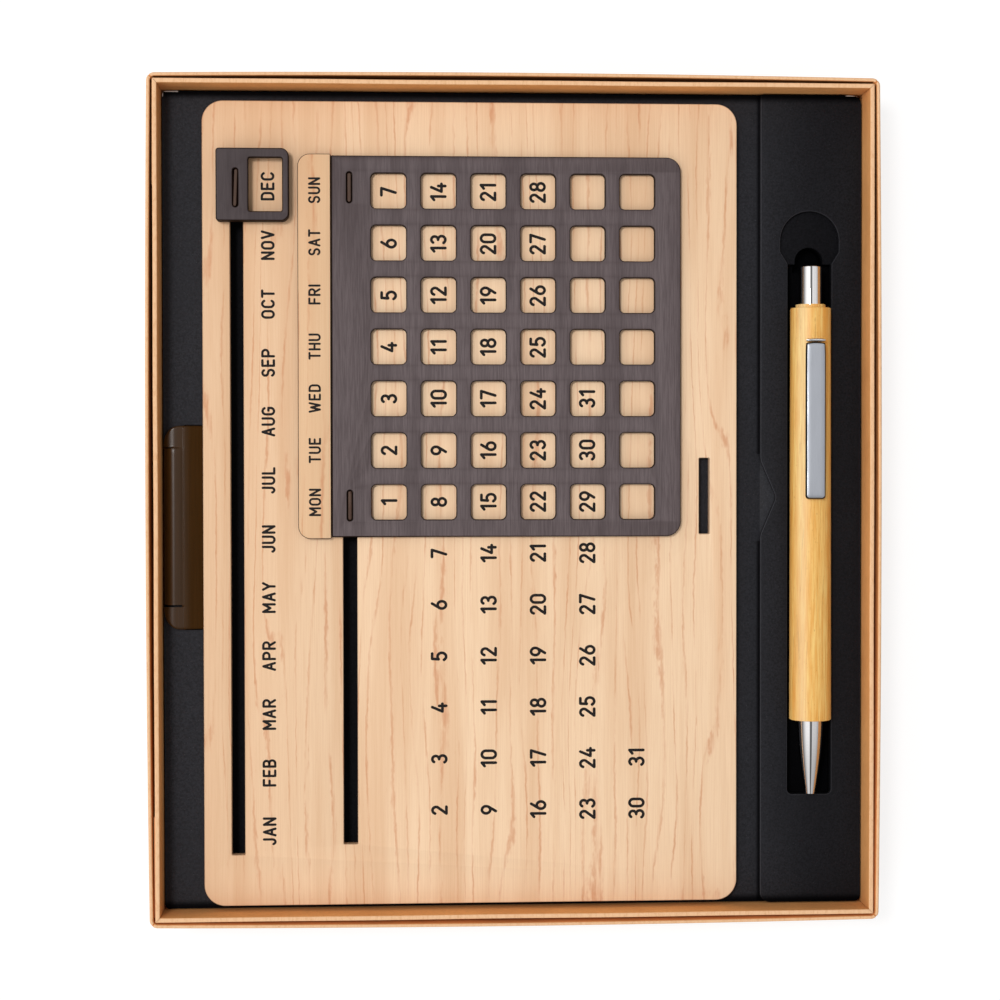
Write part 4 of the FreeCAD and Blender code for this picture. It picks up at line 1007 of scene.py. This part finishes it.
class TRAY_OT_lettering(bpy.types.Operator):
    """Print the day numbers and months on the board and the weekdays on the date frame"""
    bl_idname = "calendar_tray.lettering"
    bl_label = "Lettering"

    def execute(self, context):
        look = context.scene.calendar_tray.calendar
        columns, last_column, month_step, month_shift, bolder = 13, 23.45, 15.3, 0.4, 1.04
        depth, surface = look.ink_depth / MM, corners_of("calendar_board")[1][2]
        row_x = corners_of("date_grille")[0][0] + FIRST_WEEK + WEEK_STEP * np.arange(WEEKS)
        column_y = (corners_of("calendar_board")[1][1] - last_column
                    - DAY_STEP * np.arange(columns - 1, -1, -1))
        before_grille = columns - DAYS_SHOWN
        days, months, weekdays = [], [], []
        for row in range(WEEKS):
            for column in range(columns):
                day = DAYS_SHOWN * row + column - before_grille + 1
                if 1 <= day <= 31:
                    days += word_shells(str(day), row_x[row], column_y[column],
                                        look.numeral_height / MM, look.stroke, surface, depth)
        window_x = corners_of("month_cursor_face")[1][0] - CURSOR_WINDOW_IN - CURSOR_WINDOW[0] / 2
        first_y = middle_of("month_cursor_face")[1]
        names = "DEC NOV OCT SEP AUG JUL JUN MAY APR MAR FEB JAN"
        for step, name in enumerate(names.split()):
            months += word_shells(name, window_x + month_shift, first_y - month_step * step,
                                  look.month_height / MM, look.stroke * bolder, surface, depth)
        strip = corners_of("weekday_strip")
        for step, name in enumerate("MON TUE WED THU FRI SAT SUN".split()):
            weekdays += word_shells(name, (strip[0][0] + strip[1][0]) / 2,
                                    column_y[before_grille + step], look.weekday_height / MM,
                                    look.stroke, strip[1][2], depth)
        piece("day_numbers", days, "ink", "calendar")
        piece("month_names", months, "ink", "calendar")
        piece("weekday_names", weekdays, "ink", "date_frame")
        return {"FINISHED"}


# ---- calendar ----------------------------------------------------------------------
def tenon_shells(name, thick, lean):
    """A tenon seen in its slit: a thin tongue, leaning a little, over the shoulder below."""
    foot_height, foot_half, end_gap, slider_underside = 1.7, 0.75, 0.4, 18.6
    low, high = corners_of(name)
    x, y, _ = (low + high) / 2
    wide, long, _ = high - low
    split = low[2] + foot_height
    stem = plate(block_outline(x, y, wide, long, 0.1), split, slider_underside, 0.1, 1)
    foot = plate(block_outline(x, y, 2 * foot_half, long, 0.3), low[2], split, 0.1, 1)
    points, faces = plate(slit_outline(x, y, thick, long - end_gap), slider_underside, high[2], 0.12, 2)
    rise = np.clip((points[:, 2] - slider_underside) / (high[2] - slider_underside), 0, 1)
    points[:, 0] += lean * rise * (points[:, 1] - y) / long
    return [stem, foot, (points, faces)]


class TRAY_OT_board(bpy.types.Operator):
    """Build the calendar board with its slots and finish the stand foot"""
    bl_idname = "calendar_tray.board"
    bl_label = "Calendar board"

    def execute(self, context):
        look = context.scene.calendar_tray.calendar
        (x0, y0, z0), (x1, y1, z1) = corners_of("calendar_board")
        corner, slot_corner, slot_end, middle_y = 5.5, 0.25, 0.3, (y0 + y1) / 2
        slots = [(middle_of(tenon)[0], y0 + from_front, corners_of(tenon)[1][1] + slot_end, wide)
                 for tenon, from_front, wide in (("month_cursor_tenon", 13.35, 3.45),
                                                 ("date_tenon_upper", 15.9, 3.7))]
        slots.append((x1 - 8.6, middle_y - 8.0, middle_y + 12.0, 2.8))      # for the stand foot
        holes = [rounded_outline(x - w / 2, x + w / 2, front, back, [slot_corner] * 4)
                 for x, front, back, w in slots]
        outer = rounded_outline(x0, x1, y0, y1, [corner] * 4, 6)
        piece("board", [plate(outer, z0, z1, look.board_edge / MM, holes=holes)], "maple_board",
              "calendar", ["calendar_board"])
        dress("maple_board", "stand_foot")
        return {"FINISHED"}


class TRAY_OT_month_cursor(bpy.types.Operator):
    """Build the month cursor: two dark layers, the tenon and its keeper"""
    bl_idname = "calendar_tray.month_cursor"
    bl_label = "Month cursor"

    def execute(self, context):
        look = context.scene.calendar_tray.calendar
        wide, long = CURSOR_WINDOW
        slit = slit_outline(*middle_of("month_cursor_tenon")[:2], 1.3, 9.9)
        for layer, grow in (("month_cursor_spacer", 0.8), ("month_cursor_face", 0.0)):
            (x0, y0, z0), (x1, y1, z1) = corners_of(layer)
            window = block_outline(x1 - CURSOR_WINDOW_IN - wide / 2, (y0 + y1) / 2, wide + 2 * grow,
                                   long + 2 * grow, 0.4)
            outer = rounded_outline(x0, x1, y0, y1, [0.8, 2.0, 2.0, 0.8])
            piece(layer + "_wood", [plate(outer, z0, z1, look.slider_edge / MM, holes=[window, slit])],
                  "cursor_wood", "month_cursor", [layer])
        piece("month_tenon", tenon_shells("month_cursor_tenon", 0.85, 0.35), "maple_end",
              "month_cursor", ["month_cursor_tenon"])
        dress("cursor_wood", "month_cursor_keeper")
        return {"FINISHED"}


class TRAY_OT_date_frame(bpy.types.Operator):
    """Build the date frame: pierced grille, weekday strip, tenons and keeper"""
    bl_idname = "calendar_tray.date_frame"
    bl_label = "Date frame"

    def execute(self, context):
        look = context.scene.calendar_tray.calendar
        window, window_corner, grille_corner, strip_corner, square = 9.1, 1.3, 3.8, 3.2, 0.25
        slit_wide, slit_long, strip_gap, strip_edge = 1.35, 8.0, 0.12, 0.2
        (x0, y0, z0), (x1, y1, z1) = corners_of("date_grille")
        column_y = (y0 + y1) / 2 + DAY_STEP * (np.arange(DAYS_SHOWN) - DAYS_SHOWN // 2)
        holes = [block_outline(x, y, window, window, window_corner, 15)
                 for x in x0 + FIRST_WEEK + WEEK_STEP * np.arange(WEEKS) for y in column_y]
        for name in ("date_tenon_lower", "date_tenon_upper"):
            holes.append(slit_outline(*middle_of(name)[:2], slit_wide, slit_long))
            piece(name.replace("date_", "frame_"), tenon_shells(name, 0.95, 0.0), "maple_end",
                  "date_frame", [name])
        outer = rounded_outline(x0, x1, y0, y1, [square, grille_corner, grille_corner, square])
        piece("grille", [plate(outer, z0, z1, look.slider_edge / MM, 2, holes)], "dark_wood",
              "date_frame", ["date_grille"])
        (x0, y0, z0), (x1, y1, z1) = corners_of("weekday_strip")
        outer = rounded_outline(x0, x1 - strip_gap, y0, y1,
                                [strip_corner, square, square, strip_corner])
        piece("weekday_strip_wood", [plate(outer, z0, z1, strip_edge)], "maple_strip", "date_frame",
              ["weekday_strip"])
        dress("dark_wood", "date_keeper")
        return {"FINISHED"}


# ---- pen ---------------------------------------------------------------------------
def barrel_profile():
    """Radius and place round the barrel's wall: two softened ends, a thin collar and the bore."""
    front_slim, back_slim, soft, bore = 0.2, 0.38, 0.25, 3.5
    collar, collar_length = (3.95, 3.9), 0.9
    low, high = corners_of("pen_barrel")
    radius, front, back = (high[2] - low[2]) / 2, low[1], high[1] - collar_length
    bend = soft * quarter_round(5)
    front_edge = bend * (-1, 1) + (radius - front_slim, front)
    back_edge = bend[::-1] * (-1, -1) + (radius - back_slim, back)
    return np.vstack((front_edge, back_edge, [(collar[0], back), (collar[1], high[1]),
                                              (bore, high[1]), (bore, front)]))


def nose_profile():
    """Radius and place along the nose: an open tip, a swelling cone, the shank and the bore."""
    mouth, lip, lip_length, tip, widens, swell, slim = 1.22, 1.3, 0.08, 1.35, 2.1, 0.42, 0.02
    tip_length, shank, bore, throat, throat_from, throat_to = 0.25, 2.75, 2.0, 1.75, 4.3, 3.6
    low, high = corners_of("pen_nose")
    end, front = low[1], corners_of("pen_barrel")[0][1]
    along = np.linspace(0, 1, 14)
    cone = np.column_stack((tip + widens * along + swell * np.sin(np.pi * along) - slim,
                            end + tip_length + (front - end - tip_length) * along))
    return np.vstack(([(mouth, end), (lip, end + lip_length)], cone,
                      [(shank, front + slim), (shank, high[1]), (bore, high[1]),
                       (throat, end + throat_from), (mouth, end + throat_to)]))


def button_profile():
    """Radius and place along the button: a straight wall, a rounded edge and a shallow dome."""
    shorter, edge_in, edge_long, dome_rise, hub, chamfer = 0.6, 0.45, 0.32, 0.28, 0.12, 0.05
    edge_and_dome = 0.6
    low, high = corners_of("push_button")
    radius, front, back = (high[2] - low[2]) / 2, low[1], high[1] - shorter
    turn = np.linspace(0, np.pi / 2, 7)
    edge = np.column_stack((radius - edge_in * (1 - np.cos(turn)),
                            back - edge_and_dome + edge_long * np.sin(turn)))
    dome = np.linspace(edge[-1, 0], hub, 8)[1:]
    return np.vstack(([(radius - chamfer, front), (radius, front + chamfer)], edge,
                      np.column_stack((dome, back - dome_rise * (dome / edge[-1, 0]) ** 2))))


class TRAY_OT_pen(bpy.types.Operator):
    """Build the bamboo barrel, chrome nose and push button, and finish the parts inside"""
    bl_idname = "calendar_tray.pen"
    bl_label = "Pen"

    def execute(self, context):
        x, _, z = middle_of("pen_barrel")
        piece("barrel", [turned_shell(barrel_profile(), x, z, True)], "bamboo_barrel", "pen",
              ["pen_barrel"])
        piece("nose", [turned_shell(nose_profile(), x, z, True)], "polished_chrome", "pen",
              ["pen_nose"])
        piece("button", [turned_shell(button_profile(), x, z)], "polished_chrome", "button",
              ["push_button"])
        dress("turned_brass", "thread_insert", "refill_tip")
        dress("milky_plastic", "cam_sleeve", "cam_rotor", "refill_tube")
        dress("spring_wire", "refill_spring")
        return {"FINISHED"}


def clip_plate(outline, x, half, under, top, shoulder):
    """Clip plate in even rings from its edge to its middle line: each ring is the outline moved in,
    and the height rises by a quarter ellipse over the shoulder. The neck narrows below its end."""
    edge, rim, slimmer, slim_reach, bow, bow_reach = 0.27, 0.2, 0.06, 1.8, 0.25, 0.6
    down = outline[:, 1].max() - outline[:, 1]
    across = (outline[:, 0] - x) / half
    outline = np.column_stack((x + half * across * (1 - slimmer * np.exp(-down / slim_reach)),
                               outline[:, 1] - bow * across ** 2 * np.exp(-down / bow_reach)))
    part = 1 - np.cos(np.linspace(0, np.pi / 2, 9))
    inset = edge + np.concatenate((shoulder * part, np.linspace(shoulder, half - 0.5, 5)[1:]))
    rise = np.sqrt(1 - (1 - np.clip((inset - edge) / shoulder, 0, 1)) ** 2)
    height = np.concatenate(([under, under + 0.1], top - rim + rim * rise))[:, None, None]
    inset = np.concatenate(([0.0, 0.0], inset))[:, None, None]
    middle_y = np.clip(outline[:, 1], outline[:, 1].min() + half, outline[:, 1].max() - half)
    target = np.column_stack((np.full(len(outline), x), middle_y))
    flat = outline[None] + (target - outline)[None] * (inset / half)
    return swept_shell(np.concatenate((flat, np.broadcast_to(height, flat.shape[:2] + (1,))), 2))


def lip_shell(x, half, front, end, top):
    """Raised lip: half an ellipse standing on the clip's fixed end, lower and bowed towards its ends."""
    tall, deepest, set_back, bow, front_gap, slimmer = 0.75, 0.95, 0.24, 0.3, 0.02, 0.96
    across = np.linspace(-1, 1, 25)
    turn = np.linspace(0, np.pi, 9)
    back = end - set_back - bow * across ** 2
    reach = np.minimum(deepest, back - front - front_gap) * np.sqrt(1 - 0.5 * across ** 8)
    along = np.append((1 - np.cos(turn)) / 2, [1.0, 0.0])
    up = np.append(tall * np.sin(turn), [-0.3, -0.3])
    return swept_shell(np.stack((np.repeat((x + half * slimmer * across)[:, None], 11, 1),
                                 (back - reach)[:, None] + reach[:, None] * along,
                                 top - tall + up * (1 - 0.35 * across ** 4)[:, None]), 2))


class TRAY_OT_clip(bpy.types.Operator):
    """Build the satin clip with bevelled edges and the raised lip at its fixed end"""
    bl_idname = "calendar_tray.clip"
    bl_label = "Pen clip"

    def execute(self, context):
        look = context.scene.calendar_tray.pen
        thick, drop, nub_half, nub_ends, stem_in = 0.95, 0.1, 1.6, (0.6, 2.8), (0.6, 0.3, 0.7)
        low, high = corners_of("pen_clip")
        x, half = (low[0] + high[0]) / 2, (high[0] - low[0]) / 2
        under, top = high[2] - thick, high[2] - drop
        outer = rounded_outline(low[0], high[0], low[1], high[1], [0.9, 0.9, 0.3, 0.3], 12)
        clip = clip_plate(divided(outer, 0.5), x, half, under, top, look.clip_bevel / MM)
        nub = slab(x - nub_half, x + nub_half, low[1] + nub_ends[0], low[1] + nub_ends[1], low[2],
                   under + 0.05, 0.8, 0.3, 3)
        piece("clip", [clip, nub], "clip_steel", "clip", ["pen_clip"], 50.0)
        low, high = corners_of("clip_root")
        stem = slab(low[0] + stem_in[0], high[0] - stem_in[0], low[1] + stem_in[1],
                    high[1] - stem_in[1], low[2], high[2] - stem_in[2], 0.2)
        piece("clip_lip", [stem, lip_shell(x, half, low[1], high[1], high[2])], "lip_chrome", "pen",
              ["clip_root"], 50.0)
        return {"FINISHED"}


# ---- stage -------------------------------------------------------------------------
def linked(name, data):
    made = bpy.data.objects.new(name, data)
    bpy.context.scene.collection.objects.link(made)
    return made


def pale_floor(side):
    """A pale floor that shades under the object and reads as white to the camera."""
    mesh = bpy.data.meshes.new("floor")
    half = side / 2
    mesh.from_pydata([(-half, -half, 0), (half, -half, 0), (half, half, 0), (-half, half, 0)], [],
                     [(0, 1, 2, 3)])
    floor = linked("floor", mesh)
    paint = Finish("floor_white", (0.86,) * 3, 0.9, 0.0)
    seen = paint.rays("Camera").larger(paint.rays("Glossy"))
    paint.over(seen, (0.27,) * 3)
    paint.done()
    glow = paint.node("ShaderNodeEmission", [("Color", (1, 1, 1)), ("Strength", seen * 0.8)])
    surface = paint.tree.nodes["Principled BSDF"].outputs[0]
    both = paint.node("ShaderNodeAddShader", [(0, surface), (1, glow.outputs[0])])
    paint.feed(paint.tree.nodes["Material Output"].inputs["Surface"], both.outputs[0])
    mesh.materials.append(bpy.data.materials["floor_white"])


def soft_lamp(name, place, size, power):
    """A round lamp aimed at the origin."""
    lamp = bpy.data.lights.new(name, "AREA")
    lamp.shape, lamp.size, lamp.energy = "DISK", size, power
    made = linked(name, lamp)
    made.location = place
    made.rotation_euler = (-Vector(place)).to_track_quat("-Z", "Y").to_euler()


def sky(look):
    """Two overhead panels with a dark gap between them, brighter from the left. Matt surfaces, mirrors
    and the camera each see their own share of them."""
    world = bpy.data.worlds.new("sky")
    world.use_nodes = True
    shader = Shader(world.node_tree)
    side, front, up = shader.split(shader.node("ShaderNodeTexCoord").outputs["Generated"])
    panels = up.ramp(0.0, 0.8, look.horizon, 1.0) * abs(side).ramp(0.06, 0.2, look.gap, 1.0)
    panels = panels * side.ramp(-0.8, 0.8, 1.6, 0.55) * front.ramp(-0.8, 0.8, 1.35, 0.75)
    mirrored = up.ramp(0.0, 0.8, 0.15, 1.0) * abs(side + 0.05).ramp(0.1, 0.24, 0.15, 1.0)
    mirrored = mirrored * side.ramp(-0.5, 0.5, 1.35, 0.85) * front.ramp(-0.45, 0.05, 0.6, 1.0)
    shown = panels * look.sky
    for kind, seen in (("Glossy", mirrored), ("Camera", 1.0)):
        shown = shader.node("ShaderNodeMix", [(0, shader.rays(kind)), (2, shown), (3, seen)]).outputs[0]
    background = shader.tree.nodes["Background"].inputs
    shader.feed(background["Color"], (1, 1, 1))
    shader.feed(background["Strength"], shown)
    return world


class TRAY_OT_stage(bpy.types.Operator):
    """Set the camera, the pale floor, the sky and the soft lamp"""
    bl_idname = "calendar_tray.stage"
    bl_label = "Stage"

    def execute(self, context):
        look = context.scene.calendar_tray.stage
        camera = bpy.data.cameras.new("camera")
        camera.lens, camera.sensor_width = look.lens, 36.0
        camera.clip_start, camera.clip_end = 0.01, 50.0
        made = linked("camera", camera)
        made.location = (-0.0335, 0.0099, 0.5643)
        made.rotation_euler = Euler([math.radians(a) for a in (-1.02, -3.09, -0.08)], "XYZ")
        context.scene.camera = made
        pale_floor(look.floor)
        soft_lamp("key", (-0.4, 0.24, 1.3), 0.26, look.key)
        context.scene.world = sky(look)
        context.scene.view_settings.view_transform = "Standard"
        return {"FINISHED"}


OPERATORS = (TRAY_OT_stage, TRAY_OT_carton, TRAY_OT_liners, TRAY_OT_insert, TRAY_OT_grip, TRAY_OT_board,
             TRAY_OT_lettering, TRAY_OT_month_cursor, TRAY_OT_date_frame, TRAY_OT_pen, TRAY_OT_clip)


class TRAY_PT_panel(bpy.types.Panel):
    """Lists what can be built and the sizes and colours that go with it"""
    bl_idname = "TRAY_PT_panel"
    bl_label = "Slide Calendar Tray"
    bl_space_type = "VIEW_3D"
    bl_region_type = "UI"
    bl_category = "Slide Calendar"

    def draw(self, context):
        for operator in OPERATORS:
            self.layout.operator(operator.bl_idname)
        look = context.scene.calendar_tray
        for group in (look.tray, look.insert, look.calendar, look.pen, look.stage):
            box = self.layout.box()
            for key in group.__annotations__:
                box.prop(group, key)


CLASSES = (TrayLook, InsertLook, CalendarLook, PenLook, StageLook, CalendarTray, *OPERATORS,
           TRAY_PT_panel)


def register():
    for each in CLASSES:
        bpy.utils.register_class(each)
    bpy.types.Scene.calendar_tray = PointerProperty(type=CalendarTray)


def unregister():
    del bpy.types.Scene.calendar_tray
    for each in reversed(CLASSES):
        bpy.utils.unregister_class(each)


def main():
    """Builds every piece in order."""
    register()
    for operator in OPERATORS:
        getattr(bpy.ops.calendar_tray, operator.bl_idname.split(".")[1])()


if __name__ == "__main__":
    main()
